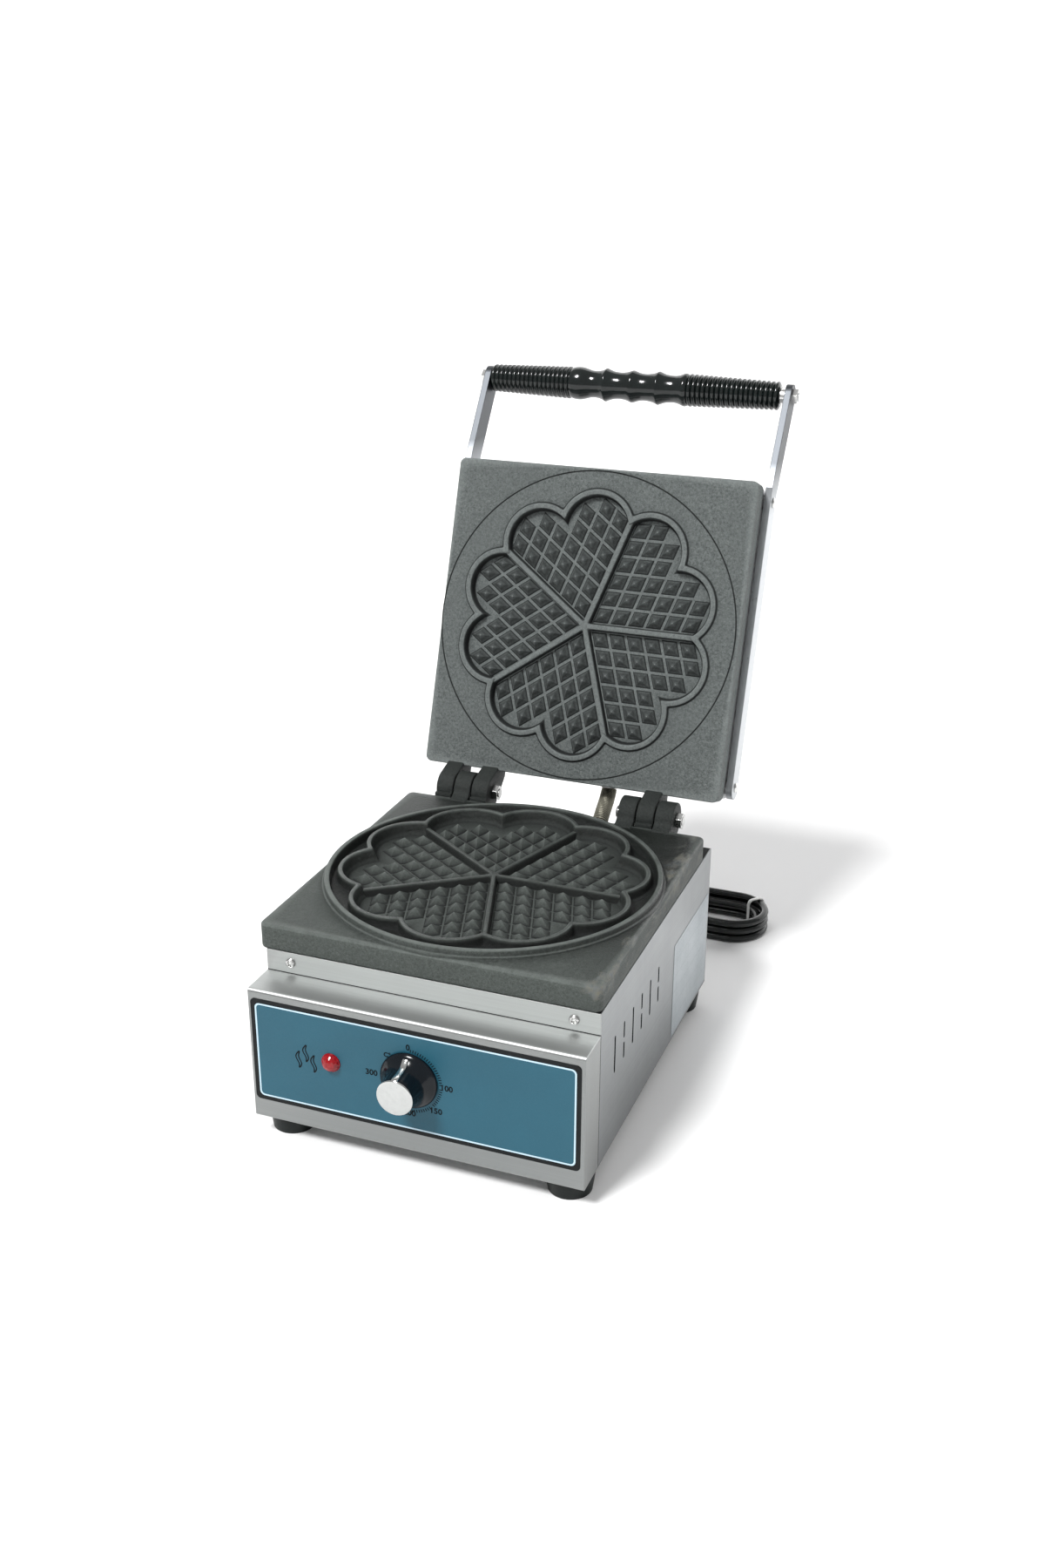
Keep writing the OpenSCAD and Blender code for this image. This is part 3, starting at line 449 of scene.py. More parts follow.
class Bag:
    """Gathers shells into one mesh."""

    def __init__(self):
        self.v, self.f, self.a = [], [], {}
        self.n = 0

    def add(self, verts, faces, **attrs):
        verts = np.asarray(verts, float).reshape(-1, 3)
        k = self.n
        self.v.append(verts)
        self.f += [tuple(int(i) + k for i in f) for f in faces]
        for name in set(self.a) | set(attrs):
            old = self.a.get(name, [np.zeros(k)] if k else [])
            new = attrs.get(name, 0.0)
            old.append(np.full(len(verts), float(new)) if np.isscalar(new) else np.asarray(new, float))
            self.a[name] = old
        self.n += len(verts)
        return self

    def make(self, name, mat, body, **kw):
        at = {k: np.concatenate(v) for k, v in self.a.items()}
        return make(name, np.concatenate(self.v), self.f, mat, body, attrs=at, **kw)


def lathe(profile, n=64, axis="z", origin=(0, 0, 0), close=True, phase=0.0):
    """Round body from (radius, height) pairs. axis: z, y (towards -Y), or x."""
    p = np.asarray(profile, float)
    a = np.arange(n) * 2 * pi / n + phase
    ring = np.stack([np.cos(a), np.sin(a)], 1)
    v, f = [], []
    for r, h in p:
        for c in ring:
            v.append((r * c[0], r * c[1], h))
    k = len(p)
    for i in range(k - 1):
        for j in range(n):
            j2 = (j + 1) % n
            f.append((i * n + j, i * n + j2, (i + 1) * n + j2, (i + 1) * n + j))
    if close:
        f.append(tuple(range(n - 1, -1, -1)))
        f.append(tuple((k - 1) * n + j for j in range(n)))
    v = np.array(v)
    if axis == "y":       # axis points to -Y
        v = np.stack([v[:, 0], -v[:, 2], v[:, 1]], 1)
    elif axis == "+y":
        v = np.stack([v[:, 1], v[:, 2], v[:, 0]], 1)
    elif axis == "x":
        v = np.stack([v[:, 2], v[:, 0], v[:, 1]], 1)
    elif axis == "-x":
        v = np.stack([-v[:, 2], v[:, 1], v[:, 0]], 1)
    return v + np.array(origin, float), f


def smooth_path(pts, step=1.5):
    """Catmull-Rom curve through the points, sampled evenly."""
    p = np.asarray(pts, float)
    q = np.vstack([2 * p[0] - p[1], p, 2 * p[-1] - p[-2]])
    out = []
    for i in range(1, len(q) - 2):
        a, b, c, d = q[i - 1], q[i], q[i + 1], q[i + 2]
        for t in np.linspace(0, 1, 24, endpoint=False):
            out.append(0.5 * (2 * b + (c - a) * t + (2 * a - 5 * b + 4 * c - d) * t * t + (3 * b - a - 3 * c + d) * t ** 3))
    out.append(p[-1])
    out = np.array(out)
    s = np.concatenate([[0], np.cumsum(np.linalg.norm(np.diff(out, axis=0), axis=1))])
    n = max(2, int(round(s[-1] / step)) + 1)
    t = np.linspace(0, s[-1], n)
    return np.stack([np.interp(t, s, out[:, k]) for k in range(3)], 1)


def prism(outline, x0, w, bevel=1.2, segs=3):
    """A (y, z) outline pushed along x, with rounded rims. Returns verts, faces."""
    bm = bmesh.new()
    vs = [bm.verts.new((x0, y, z)) for y, z in outline]
    face = bm.faces.new(vs)
    ext = bmesh.ops.extrude_face_region(bm, geom=[face])
    bmesh.ops.translate(bm, verts=[g for g in ext["geom"] if isinstance(g, bmesh.types.BMVert)], vec=(w, 0, 0))
    bm.normal_update()
    bmesh.ops.recalc_face_normals(bm, faces=bm.faces[:])
    rims = [e for e in bm.edges if abs(e.verts[0].co.x - e.verts[1].co.x) < 1e-6]
    corners = [e for e in bm.edges if abs(e.verts[0].co.x - e.verts[1].co.x) > 1e-6 and e.calc_face_angle(0) > math.radians(25)]
    if bevel:
        bmesh.ops.bevel(bm, geom=rims + corners, offset=bevel, segments=segs, profile=0.5, affect="EDGES", clamp_overlap=True)
    bmesh.ops.recalc_face_normals(bm, faces=bm.faces[:])
    bm.verts.index_update()
    v = np.array([tuple(q.co) for q in bm.verts])
    f = [tuple(q.index for q in g.verts) for g in bm.faces]
    bm.free()
    return v, f


def sstep(x, a=0.0, b=1.0):
    t = np.clip((np.asarray(x, float) - a) / (b - a), 0, 1)
    return t * t * (3 - 2 * t)


# ------------------------------------------------------------------ cord (route as in the part's drawing)
lead = [(-60, 372, 46), (-60, 379, 45.9), (-60, 386, 44.5), (-60, 395, 40), (-60, 402, 33),
        (-60, 408, 25), (-60, 414, 17), (-59.5, 422, 9.5), (-58, 431, 5.5), (-55, 440, 4), (-50, 448, 4),
        (-43, 454, 4), (-34, 458, 4), (-24, 460, 4), (-13, 460.5, 4), (-2, 460, 4), (9, 460, 4)]
tail = [(9, 524, 20), (-2, 524, 20), (-13, 524, 19.8), (-24, 524, 19.4), (-35, 524, 19),
        (-46, 524, 18.6), (-57, 524, 18.5), (-62, 524, 18.5)]
turns = [(32, 24, 4, 4), (24, 24, 4, 12), (24, 32, 12, 12), (32, 32, 12, 20), (32, None, 20, 20)]
XL, XR, YC = 9.0, 129.0, 492.0
hank = []
for k, (ra, rb, za, zb) in enumerate(turns):
    hank += [(x, YC - ra, za) for x in np.linspace(XL, XR, 13)[1:]]
    hank += [(XR + ra * math.cos(t), YC + ra * math.sin(t), za) for t in np.linspace(-pi / 2, pi / 2, 19)[1:]]
    hank += [(x, YC + ra, za) for x in np.linspace(XR, XL, 13)[1:]]
    if rb is not None:
        for t in np.linspace(0, 1, 25)[1:]:
            lo, hi = (0.22, 1.0) if k == 0 else (0.0, 0.86) if k == 1 else (0.0, 0.9)
            s = float(sstep(t, lo, hi))
            r, z = ra + (rb - ra) * s, za + (zb - za) * s
            ang = pi / 2 + pi * t
            hank.append((XL + r * math.cos(ang), YC + r * math.sin(ang), z))
path = np.vstack([smooth_path(lead, 2.2)[:-1], np.array([(9, 460, 4)] + hank), smooth_path(tail, 2.2)[1:]])
cord_rows = row(path)
cu = bpy.data.curves.new("mains_lead", "CURVE")
cu.dimensions = "3D"
sp = cu.splines.new("POLY")
sp.points.add(len(cord_rows) - 1)
for q, c in zip(sp.points, cord_rows):
    q.co = (*c, 1)
sp.use_smooth = True
cu.bevel_depth = 0.00394
cu.bevel_resolution = 3
cu.use_fill_caps = True
cu.materials.append(M["cord"])
cord = bpy.data.objects.new("mains_lead", cu)
scene.collection.objects.link(cord)
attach(cord, "base")
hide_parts("mains_cord", "cord_coil", "cord_tail")

# plug: ribbed neck, round body with grip flats, two pins
bag = Bag()
prof = [(4.3, -3.5), (5.0, -3.2), (5.5, -1.5)]
for i in range(6):
    x = i * 3.6
    r = 5.6 + i * 0.42
    prof += [(r, x), (r + 0.5, x + 0.5), (r + 0.5, x + 2.0), (r - 0.1, x + 2.5), (r - 0.1, x + 3.2)]
prof += [(8.2, 22.5), (9.2, 24.5), (12.5, 27.5), (16.2, 30.2), (17.9, 32.4), (18.4, 34.5), (18.4, 46.2), (18.1, 48.2), (17.2, 49.6), (14.0, 50), (0.4, 50)]
v, f = lathe(prof, 56, "-x")
rad = np.hypot(v[:, 1], v[:, 2])
ang = np.arctan2(v[:, 2], v[:, 1])
grip = (np.abs(np.cos(ang)) > 0.75) & (v[:, 0] < -33.5) & (v[:, 0] > -47)
k = np.where(grip, 1 - 0.045 * (1 + np.cos(v[:, 0] * 2 * pi / 3.1)), 1.0)
v[:, 1] *= k
v[:, 2] *= k
bag.add(v + np.array([-58, 524, 18.5]), f)
plug = bag.make("plug_body", "plug", "base", sharp=50)
bag = Bag()
for s in (-1, 1):
    v, f = lathe([(2.4, 47), (2.4, 66.2), (2.15, 67.6), (1.6, 68.6), (0.7, 69)], 28, "-x")
    bag.add(v + np.array([-58, 524 + s * 9.5, 18.5]), f)
pins = bag.make("plug_pins", "nut", "base")
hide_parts("plug")
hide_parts("plug")

# tie round the hank: a flat band
a = math.radians(48)
cen = np.array([129 + 28 * math.cos(a), 492 + 28 * math.sin(a)])
rad_dir = np.array([math.cos(a), math.sin(a)])
tan_dir = np.array([-math.sin(a), math.cos(a)])
lw, lh, rc = 8.9, 12.5, 5.0
loop = []
for cx, cz, s0 in ((lw - rc, lh - rc, 0), (-(lw - rc), lh - rc, 90), (-(lw - rc), -(lh - rc), 180), (lw - rc, -(lh - rc), 270)):
    for t in np.linspace(0, 90, 9):
        q = math.radians(s0 + t)
        loop.append((cx + rc * math.cos(q), cz + rc * math.sin(q), math.cos(q), math.sin(q)))
v, f = [], []
sect = [(-0.45, -1.9), (0.1, -2.0), (0.45, -1.7), (0.45, 1.7), (0.1, 2.0), (-0.45, 1.9)]
for lx, lz, nx, nz in loop:
    for t, w in sect:
        u, zz = lx + nx * t, lz + nz * t
        v.append((cen[0] + rad_dir[0] * u + tan_dir[0] * w, cen[1] + rad_dir[1] * u + tan_dir[1] * w, 13.0 + zz))
L, S = len(loop), len(sect)
for i in range(L):
    for j in range(S):
        f.append((i * S + j, i * S + (j + 1) % S, ((i + 1) % L) * S + (j + 1) % S, ((i + 1) % L) * S + j))
bag = Bag().add(v, f)
tie = bag.make("tie_band", "tie", "base", sharp=50)
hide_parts("cord_tie")

# strain relief: nut, collar and ribbed tapered sleeve
prof = [(4.2, -2), (11.0, -2), (11.0, 4.2), (10.4, 5.0), (8.6, 5.0), (8.2, 5.4)]
for i in range(5):
    y = 6.2 + i * 4.0
    r = 7.9 - i * 0.52
    prof += [(r, y), (r, y + 2.0), (r - 0.8, y + 2.5), (r - 0.9, y + 3.5)]
prof += [(5.2, 26.6), (5.0, 27.8), (4.25, 28.0)]
v, f = lathe(prof, 48, "+y", (-60, 344, 46))
gl = Bag().add(v, f).make("strain_relief", "gland", "base", sharp=40)
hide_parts("cable_gland")

# ------------------------------------------------------------------ plates
FC = np.array([-3.0, 176.0])
LOBE = 88.5
th = np.arange(0, 360, 0.6)
for c in (45, 135, 225, 315):
    th = np.concatenate([th, np.arange(c - 3.3, c + 3.3, 0.22)])
th = np.unique(np.round(th, 3))
K = len(th)
TC, TS = np.cos(np.radians(th)), np.sin(np.radians(th))


def lobes(R, soft=1.1):
    """Distance from the middle to the ten-lobed outline, with its inward corners eased."""
    best = []
    for off in (0, 36, -36):
        ph = ((th - 18 + 18) % 36) - 18 + off
        s = LOBE * np.sin(np.radians(ph))
        ok = np.abs(s) < R
        r = np.where(ok, LOBE * np.cos(np.radians(ph)) + np.sqrt(np.maximum(R * R - s * s, 0)), 0.0)
        best.append(r)
    best = np.array(best)
    mx = best.max(0)
    return mx + np.log(np.exp((best - mx) * soft).sum(0)) / soft


def rrect(cx, a, b, rc):
    """Distance from the flower's middle to a rounded rectangle round (cx, 176)."""
    lo, hi = np.zeros(K), np.full(K, 320.0)
    dx = FC[0] - cx
    for _ in range(46):
        t = (lo + hi) / 2
        qx = np.abs(dx + t * TC) - (a - rc)
        qy = np.abs(t * TS) - (b - rc)
        d = np.hypot(np.maximum(qx, 0), np.maximum(qy, 0)) + np.minimum(np.maximum(qx, qy), 0) - rc
        lo, hi = np.where(d < 0, t, lo), np.where(d < 0, hi, t)
    return lo


def stations(st, flip=False, center=None):
    """st: list of (radius array or number, height array or number, attrs dict)."""
    v, f, at = [], [], {"wear": [], "dark": [], "scuff": [], "oil": []}
    for r, z, d in st:
        r = np.broadcast_to(np.asarray(r, float), K)
        z = np.broadcast_to(np.asarray(z, float), K)
        v.append(np.stack([FC[0] + r * TC, FC[1] + r * TS, z], 1))
        for k in at:
            at[k].append(np.broadcast_to(np.asarray(d.get(k, 0.0), float), K))
    m = len(st)
    v = np.concatenate(v)
    at = {k: np.concatenate(q) for k, q in at.items()}
    for i in range(m - 1):
        for j in range(K):
            j2 = (j + 1) % K
            q = (i * K + j, (i + 1) * K + j, (i + 1) * K + j2, i * K + j2)
            f.append(q[::-1] if flip else q)
    # caps: the middle of the first and the last ring
    for i, z in ((0, st[0][1]), (m - 1, st[-1][1])):
        v = np.vstack([v, [FC[0], FC[1], float(np.mean(z))]])
        c = len(v) - 1
        for k in at:
            at[k] = np.append(at[k], 0.0)
        for j in range(K):
            j2 = (j + 1) % K
            q = (c, i * K + j, i * K + j2)
            if i:
                q = q[::-1]
            f.append(q[::-1] if flip else q)
    return v, f, at


ROWS = [6, 6, 5, 3, 3, 2]
A0, PITCH = 11.8, 16.7


def pyramid_field(bag, z0, up, h, half, base_w, tip_w, base_d, flank_d):
    """One four-sided point per cell, with flat facets and a short flared foot."""
    dz = 1 if up else -1
    rng = np.random.default_rng(7)
    for k in range(5):
        u = np.array([math.cos(math.radians(72 * k)), math.sin(math.radians(72 * k))])
        w = np.array([math.cos(math.radians(72 * k + 72)), math.sin(math.radians(72 * k + 72))])
        for j, cnt in enumerate(ROWS):
            for i in range(cnt):
                c = FC + (A0 + i * PITCH) * u + (A0 + j * PITCH) * w
                hh = h * (1 - 0.03 * rng.random())
                # lv rows: size, height, wear, dark; the dark values (base_d at the foot, flank_d on the flanks) are
                # painted shade
                lv = [(half + 0.1, -0.9, base_w, base_d), (half + 0.05, 0.02, base_w, base_d), (half - 0.35, 0.30, 0.0, base_d), (half * 0.80, 0.22 * hh, 0.0, 0.5 * base_d),
                      (half * 0.5, hh * 0.5, 0.0, flank_d), (0.75, hh - 0.32, tip_w * 0.5, flank_d * 0.5), (0.42, hh, tip_w, 0.0)]
                v, wear, dark, f = [], [], [], []
                for s, z, wv, dv in lv:
                    for a, b in ((s, s), (-s, s), (-s, -s), (s, -s)):
                        q = c + a * u + b * w
                        v.append((q[0], q[1], z0 + dz * z))
                        wear.append(wv)
                        dark.append(dv)
                n = 4
                for a in range(len(lv) - 1):
                    for b in range(n):
                        b2 = (b + 1) % n
                        q = (a * n + b, a * n + b2, (a + 1) * n + b2, (a + 1) * n + b)
                        f.append(q if up else q[::-1])
                q = tuple((len(lv) - 1) * n + b for b in range(n))
                f.append(q if up else q[::-1])
                bag.add(v, f, wear=np.array(wear), dark=np.array(dark), scuff=0.0, oil=0.22)


def rib_bars(bag, z0, up, h, length, w_foot, w_top, wear, foot_dark):
    """Five bars from the middle to the inward corners, with eased shoulders, and the hub."""
    dz = 1 if up else -1
    # foot_dark: painted shade along the feet of the bars
    half = [(-w_foot / 2 - 1.0, -0.6, foot_dark, 0), (-w_foot / 2 - 0.35, 0.06, foot_dark, 0), (-w_foot / 2, 0.45, foot_dark, 0),
            (-w_foot / 2 * 0.4 - w_top / 2 * 0.6 - 0.2, h * 0.7, foot_dark * 0.8, 0),
            (-w_top / 2 - 0.3, h - 0.75, 0.0, wear * 0.5), (-w_top / 2 - 0.05, h - 0.25, 0.0, wear), (-w_top / 2 + 0.45, h, 0.0, wear * 0.8)]
    sect = half + [(-a, b, c, d) for a, b, c, d in half[::-1]]
    for k in range(5):
        u = np.array([math.cos(math.radians(72 * k)), math.sin(math.radians(72 * k))])
        p = np.array([-u[1], u[0]])
        xs = np.linspace(3.0, length, 24)
        v, f, wr, dk = [], [], [], []
        for x in xs:
            for a, z, d, wv in sect:
                q = FC + x * u + a * p
                v.append((q[0], q[1], z0 + dz * z))
                wr.append(wv)
                dk.append(d if x > 6 else 0)
        n = len(sect)
        for i in range(len(xs) - 1):
            for j in range(n - 1):
                q = (i * n + j, (i + 1) * n + j, (i + 1) * n + j + 1, i * n + j + 1)
                f.append(q if up else q[::-1])
        bag.add(v, f, wear=np.array(wr), dark=np.array(dk), scuff=0.0, oil=0.9)
    hub = [(w_top * 0.5 + 3.4, -0.4), (w_top * 0.5 + 2.9, h - 1.0), (w_top * 0.5 + 2.6, h - 0.3), (w_top * 0.5 + 2.0, h - 0.01), (0.3, h - 0.01)]
    v, f = lathe(hub, 40)
    v[:, 2] = z0 + dz * v[:, 2]
    v[:, 0] += FC[0]
    v[:, 1] += FC[1]
    bag.add(v, f if up else [q[::-1] for q in f], wear=wear * 0.6, dark=0.0, scuff=0.0, oil=0.9)


def edge_scuff(r, z=None):
    """More wear along the right-hand side of the lower plate."""
    x = FC[0] + r * TC
    return sstep(x, 119, 137)


# ---- lower plate
zt, wt, pf, tf = 176.0, 184.0, 172.3, 175.0
top_w = 0.55
st = []
base = lobes(33.4)
for fr in (0.12, 0.3, 0.5, 0.7, 0.85):
    st.append((base * fr, pf, {}))
# the dark values are painted shade at the feet of the flower wall, inside the pool and outside it
for R, z, w, d in ((33.4, pf, 0, 0.6), (34.5, pf + 0.35, 0, 0.8), (35.3, pf + 1.4, 0, 0.6), (36.6, pf + 4.5, 0, 0.15), (37.9, wt - 2.3, 0.05, 0),
                   (38.4, wt - 0.8, 0.30, 0), (38.8, wt - 0.25, 0.45, 0), (39.4, wt, 0.30, 0), (40.4, wt + 0.0, 0.22, 0), (41.2, wt - 0.02, 0.30, 0),
                   (41.8, wt - 0.35, 0.42, 0), (42.2, wt - 1.1, 0.2, 0.1), (42.5, wt - 3.2, 0.0, 0.35), (42.8, tf + 1.9, 0, 0.65), (43.4, tf + 0.7, 0, 0.9), (44.6, tf, 0, 0.7)):
    st.append((lobes(R), z, {"wear": w, "dark": d}))
e = np.minimum(lobes(44.6), 133.6)
st[-1] = (e, tf, st[-1][2])
# painted shade over the trough and at the ring's foot
for fr in (0.33, 0.66):
    st.append((e + (134.0 - e) * fr, tf, {"dark": 0.25}))
for r, z, w, d in ((134.2, tf, 0, 0.25), (134.9, tf + 0.2, 0, 0.55), (135.5, tf + 1.2, 0, 0.3), (136.3, tf + 5.6, 0, 0), (136.8, 182.6, 0.25, 0), (137.4, 183.05, 0.45, 0),
                   (138.2, 183.2, 0.45, 0), (139.4, 183.2, 0.4, 0), (140.2, 183.05, 0.45, 0), (140.75, 182.5, 0.35, 0), (140.95, 181.5, 0, 0), (141.0, 179.5, 0, 0.2),
                   (141.3, 178.75, 0, 0.3), (141.9, 178.5, 0.1, 0), (142.5, 178.35, 0.25, 0), (142.85, 177.9, 0.2, 0)):
    st.append((r, z, {"wear": w, "dark": d}))
B = rrect(-3.0, 143.0, 143.5, 6.0)
RR = 2.4


def edge_z(dist, top, R):
    d = np.clip(dist, 0, R)
    return top - (R - np.sqrt(np.maximum(R * R - (R - d) ** 2, 0)))


r = np.full(K, 142.9)
room = np.maximum(B - r, 0.02)
nrm = np.maximum(np.abs(TC), np.abs(TS))
# painted shade at the foot of the rise to the outer edge
st.append((r, np.minimum(edge_z(room * nrm, zt, RR) + 0.6, 177.6), {"dark": 0.15}))
st.append((r + np.minimum(0.5, room * 0.15), edge_z((room - np.minimum(0.5, room * 0.15)) * nrm, zt, RR), {"dark": 0.25}))
for fr in (0.3, 0.55, 0.8):
    inner = np.maximum(room - 3.2, room * 0.2)
    rad = r + np.minimum(0.5, room * 0.15) + (inner - np.minimum(0.5, room * 0.15)) * fr
    st.append((rad, edge_z((B - rad) * nrm, zt, RR), {"scuff": edge_scuff(rad) * 0.8}))
for d in (2.4, 1.7, 1.1, 0.6, 0.25, 0.05):
    Bd = rrect(-3.0, 143.0 - d, 143.5 - d, 6.0 - d)
    rad = np.maximum(Bd, 142.9 + room * (0.9 - 0.1 * d))
    z = np.where(Bd > 142.9 + room * (0.9 - 0.1 * d), edge_z(d, zt, RR), edge_z((B - rad) * nrm, zt, RR))
    st.append((rad, z, {"wear": 0.35, "scuff": edge_scuff(rad)}))
for z in (zt - RR, 170.0, 165.5, 160.5, 156.2):
    st.append((B, z, {"wear": 0.12 if z > 173 else 0.05, "scuff": edge_scuff(B) * (1.0 if z > 168 else 0.55 if z > 162 else 0.15)}))
# painted shade along the underside of the edge
for d, z in ((0.25, 155.2), (0.9, 154.35), (1.9, 154.06)):
    st.append((rrect(-3.0, 143.0 - d, 143.5 - d, 6.0 - d), z, {"dark": 0.3}))
v, f, at = stations(st)
# grease: inside the ring, and over the back and right of the plate
gx, gy = v[:, 0] - FC[0], v[:, 1] - FC[1]
g = np.clip(0.16 + 0.9 * sstep(0.55 * gx + 0.84 * gy, -95, 110), 0, 1)
g = np.where(np.hypot(gx, gy) < 136.5, 0.96, g)
g = np.where(v[:, 2] < 174.5, 0.10 + 0.25 * sstep(gy, -140, 140), g)
at["oil"] = g
low = Bag()
low.add(v, f, **at)
pyramid_field(low, pf, True, 6.5, 7.55, 0.0, 0.5, 0.95, 0.05)
rib_bars(low, pf, True, 7.0, 111.0, 5.6, 2.7, 0.30, 0.6)
lower = low.make("lower_casting", "cast_low", "base", sharp=32)

# small shell for the hinge ears of the lower plate
ears = Bag()
arc = [(HY + 15.95 * math.cos(q), HZ + 15.95 * math.sin(q)) for q in np.radians(np.linspace(-90, 168, 44))]
outline = [(312.0, 162.4)] + arc + [(322.2, 179.2), (319.0, 177.3), (312.0, 176.3)]
for x0 in (-103.5, 56.5, 91.5):
    v, f = prism(outline, x0, 16.5, 1.3, 3)
    ears.add(v, f)
low_ears = ears.make("lower_ears", "cast_ear", "base", sharp=40)
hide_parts("lower_plate")
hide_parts("lower_plate")

# ---- upper plate, drawn closed, face down
lz = 184.3
rf = lz + 5.2
st = []
base = lobes(28.6)
for fr in (0.12, 0.3, 0.5, 0.7, 0.85):
    st.append((base * fr, rf, {"wear": 0.13}))
# the dark values here are painted shade in the step down into the recess
for R, z, w, d in ((28.6, rf, 0, 0.0), (29.4, rf - 0.02, 0, 0.95), (30.0, rf - 0.35, 0, 1.0), (30.5, rf - 1.6, 0, 1.0), (30.9, rf - 4.6, 0, 0.85), (31.2, rf - 6.9, 0.0, 0.5),
                   (31.6, lz - 2.35, 0.25, 0.0), (32.2, lz - 2.72, 0.2, 0), (33.2, lz - 2.8, 0.12, 0), (34.6, lz - 2.8, 0.12, 0), (35.4, lz - 2.66, 0.2, 0), (35.9, lz - 2.2, 0.1, 0.1),
                   (36.15, lz - 1.2, 0, 0.75), (36.5, lz - 0.35, 0, 1.0), (37.1, lz - 0.02, 0, 0.9), (37.9, lz, 0, 0.1)):
    st.append((lobes(R), z, {"wear": w, "dark": d}))
e = lobes(37.9)
for fr in (0.25, 0.5, 0.75, 0.97):
    st.append((e + (139.9 - e) * fr, lz, {}))
for r, z, d in ((140.2, lz, 0.0), (140.55, lz + 0.1, 0.8), (140.8, lz + 0.55, 1.0), (141.35, lz + 0.55, 1.0), (141.6, lz + 0.1, 0.8)):
    st.append((r, z, {"dark": d}))
B = rrect(-1.5, 143.0, 143.5, 6.0)
RR = 1.6
r = 141.65
room = np.maximum(B - r, 0.02)


def edge_zu(dist):
    d = np.clip(dist, 0, RR)
    return lz + (RR - np.sqrt(np.maximum(RR * RR - (RR - d) ** 2, 0)))


st.append((r + np.minimum(0.3, room * 0.1), edge_zu((room * 0.9) * nrm), {}))
for fr in (0.3, 0.55, 0.8):
    inner = np.maximum(room - 2.4, room * 0.2)
    rad = r + np.minimum(0.3, room * 0.1) + (inner - np.minimum(0.3, room * 0.1)) * fr
    st.append((rad, edge_zu((B - rad) * nrm), {}))
for d in (1.6, 1.1, 0.65, 0.3, 0.05):
    Bd = rrect(-1.5, 143.0 - d, 143.5 - d, 6.0 - d)
    lim = r + room * (0.9 - 0.12 * d)
    rad = np.maximum(Bd, lim)
    z = np.where(Bd > lim, edge_zu(d), edge_zu((B - rad) * nrm))
    st.append((rad, z, {"wear": 0.3}))
for z in (lz + RR, 190.0, 195.5, 201.0, 204.2):
    st.append((B, z, {"wear": 0.1}))
# painted shade along the back edge
for d, z in ((0.3, 205.6), (1.0, 206.2), (2.2, 206.28)):
    st.append((rrect(-1.5, 143.0 - d, 143.5 - d, 6.0 - d), z, {"dark": 0.2}))
v, f, at = stations(st, flip=True)
up = Bag()
up.add(v, f, **at)
pyramid_field(up, rf, False, 6.4, 7.0, 0.1, 0.25, 0.95, 0.72)
rib_bars(up, rf, False, 6.5, 103.5, 5.9, 3.9, 0.2, 1.0)
upper = up.make("upper_casting", "cast_up", "lid", place=lid, sharp=32)

ears = Bag()
a0, a1 = math.degrees(math.atan2(0.7214, 0.6925)), math.degrees(math.atan2(-0.7214, -0.6925))
arc = [(HY + 15.95 * math.cos(q), HZ + 15.95 * math.sin(q)) for q in np.radians(np.linspace(a0, a1, 36))]
outline = [(HY - 24, HZ + 8), (HY - 24, HZ + 27), (HY - 14, HZ + 27)] + arc
oa = math.radians(109.3)
heel = []
for yy, zz in ((-19.6, -8), (-5.6, -8), (-5.6, 0), (-19.6, 0)):
    heel.append((HY + yy * math.cos(oa) - zz * math.sin(oa), HZ + yy * math.sin(oa) + zz * math.cos(oa)))
for x0 in (-121.0, -86.0, 74.0):
    v, f = prism(outline, x0, 16.5, 1.3, 3)
    ears.add(v, f)
    v, f = prism(heel, x0 + 0.2, 16.1, 0.7, 2)
    ears.add(v, f)
up_ears = ears.make("upper_ears", "cast_ear", "lid", place=lid, sharp=40)
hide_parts("upper_plate")
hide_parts("upper_plate")

# ------------------------------------------------------------------ handle
AL = -1.5 - 143.0 + 1 - 1.5 - 6.0
ARR = -1.5 + 143.0 - 1 + 1.5
HAY, HAZ = 319.5 - 372.4, lz + 61.4
G0, G1 = AL + 6.2, ARR - 5.5


def grip_rings(x0, x1, ra, rb, n):
    out = []
    d = (x1 - x0) / n
    for i in range(n):
        t = i / (n - 1)
        r, x = ra + (rb - ra) * t, x0 + d * i
        for fx, dr in ((0.0, -1.75), (0.09, -1.45), (0.20, -0.55), (0.34, -0.08), (0.5, 0.0), (0.66, -0.08), (0.80, -0.55), (0.91, -1.45)):
            out.append((r + dr, x + d * fx))
    return out


mid = np.array([(13.9, 80.4), (14.9, 83.2), (15.3, 87.6), (15.0, 91.2), (13.9, 95.4), (12.8, 99.6), (12.5, 103.5), (12.9, 107.4), (14.0, 111.2), (15.3, 113.9), (15.4, 115.1),
                (14.5, 117.2), (13.1, 121.3), (12.5, 126), (12.5, 130), (13.2, 134.5), (14.5, 138.4), (15.0, 140.5), (14.5, 142.5), (13.2, 146.4), (12.5, 150.5), (12.6, 155.6),
                (13.7, 161), (15.2, 164.9), (15.45, 166.1), (14.7, 168.2), (13.2, 172.4), (12.5, 178), (12.6, 182.3), (13.6, 186.4), (14.8, 189.6), (15.2, 192), (14.3, 194.4)])
tt = np.arange(len(mid))
tq = np.linspace(0, len(mid) - 1, 110)


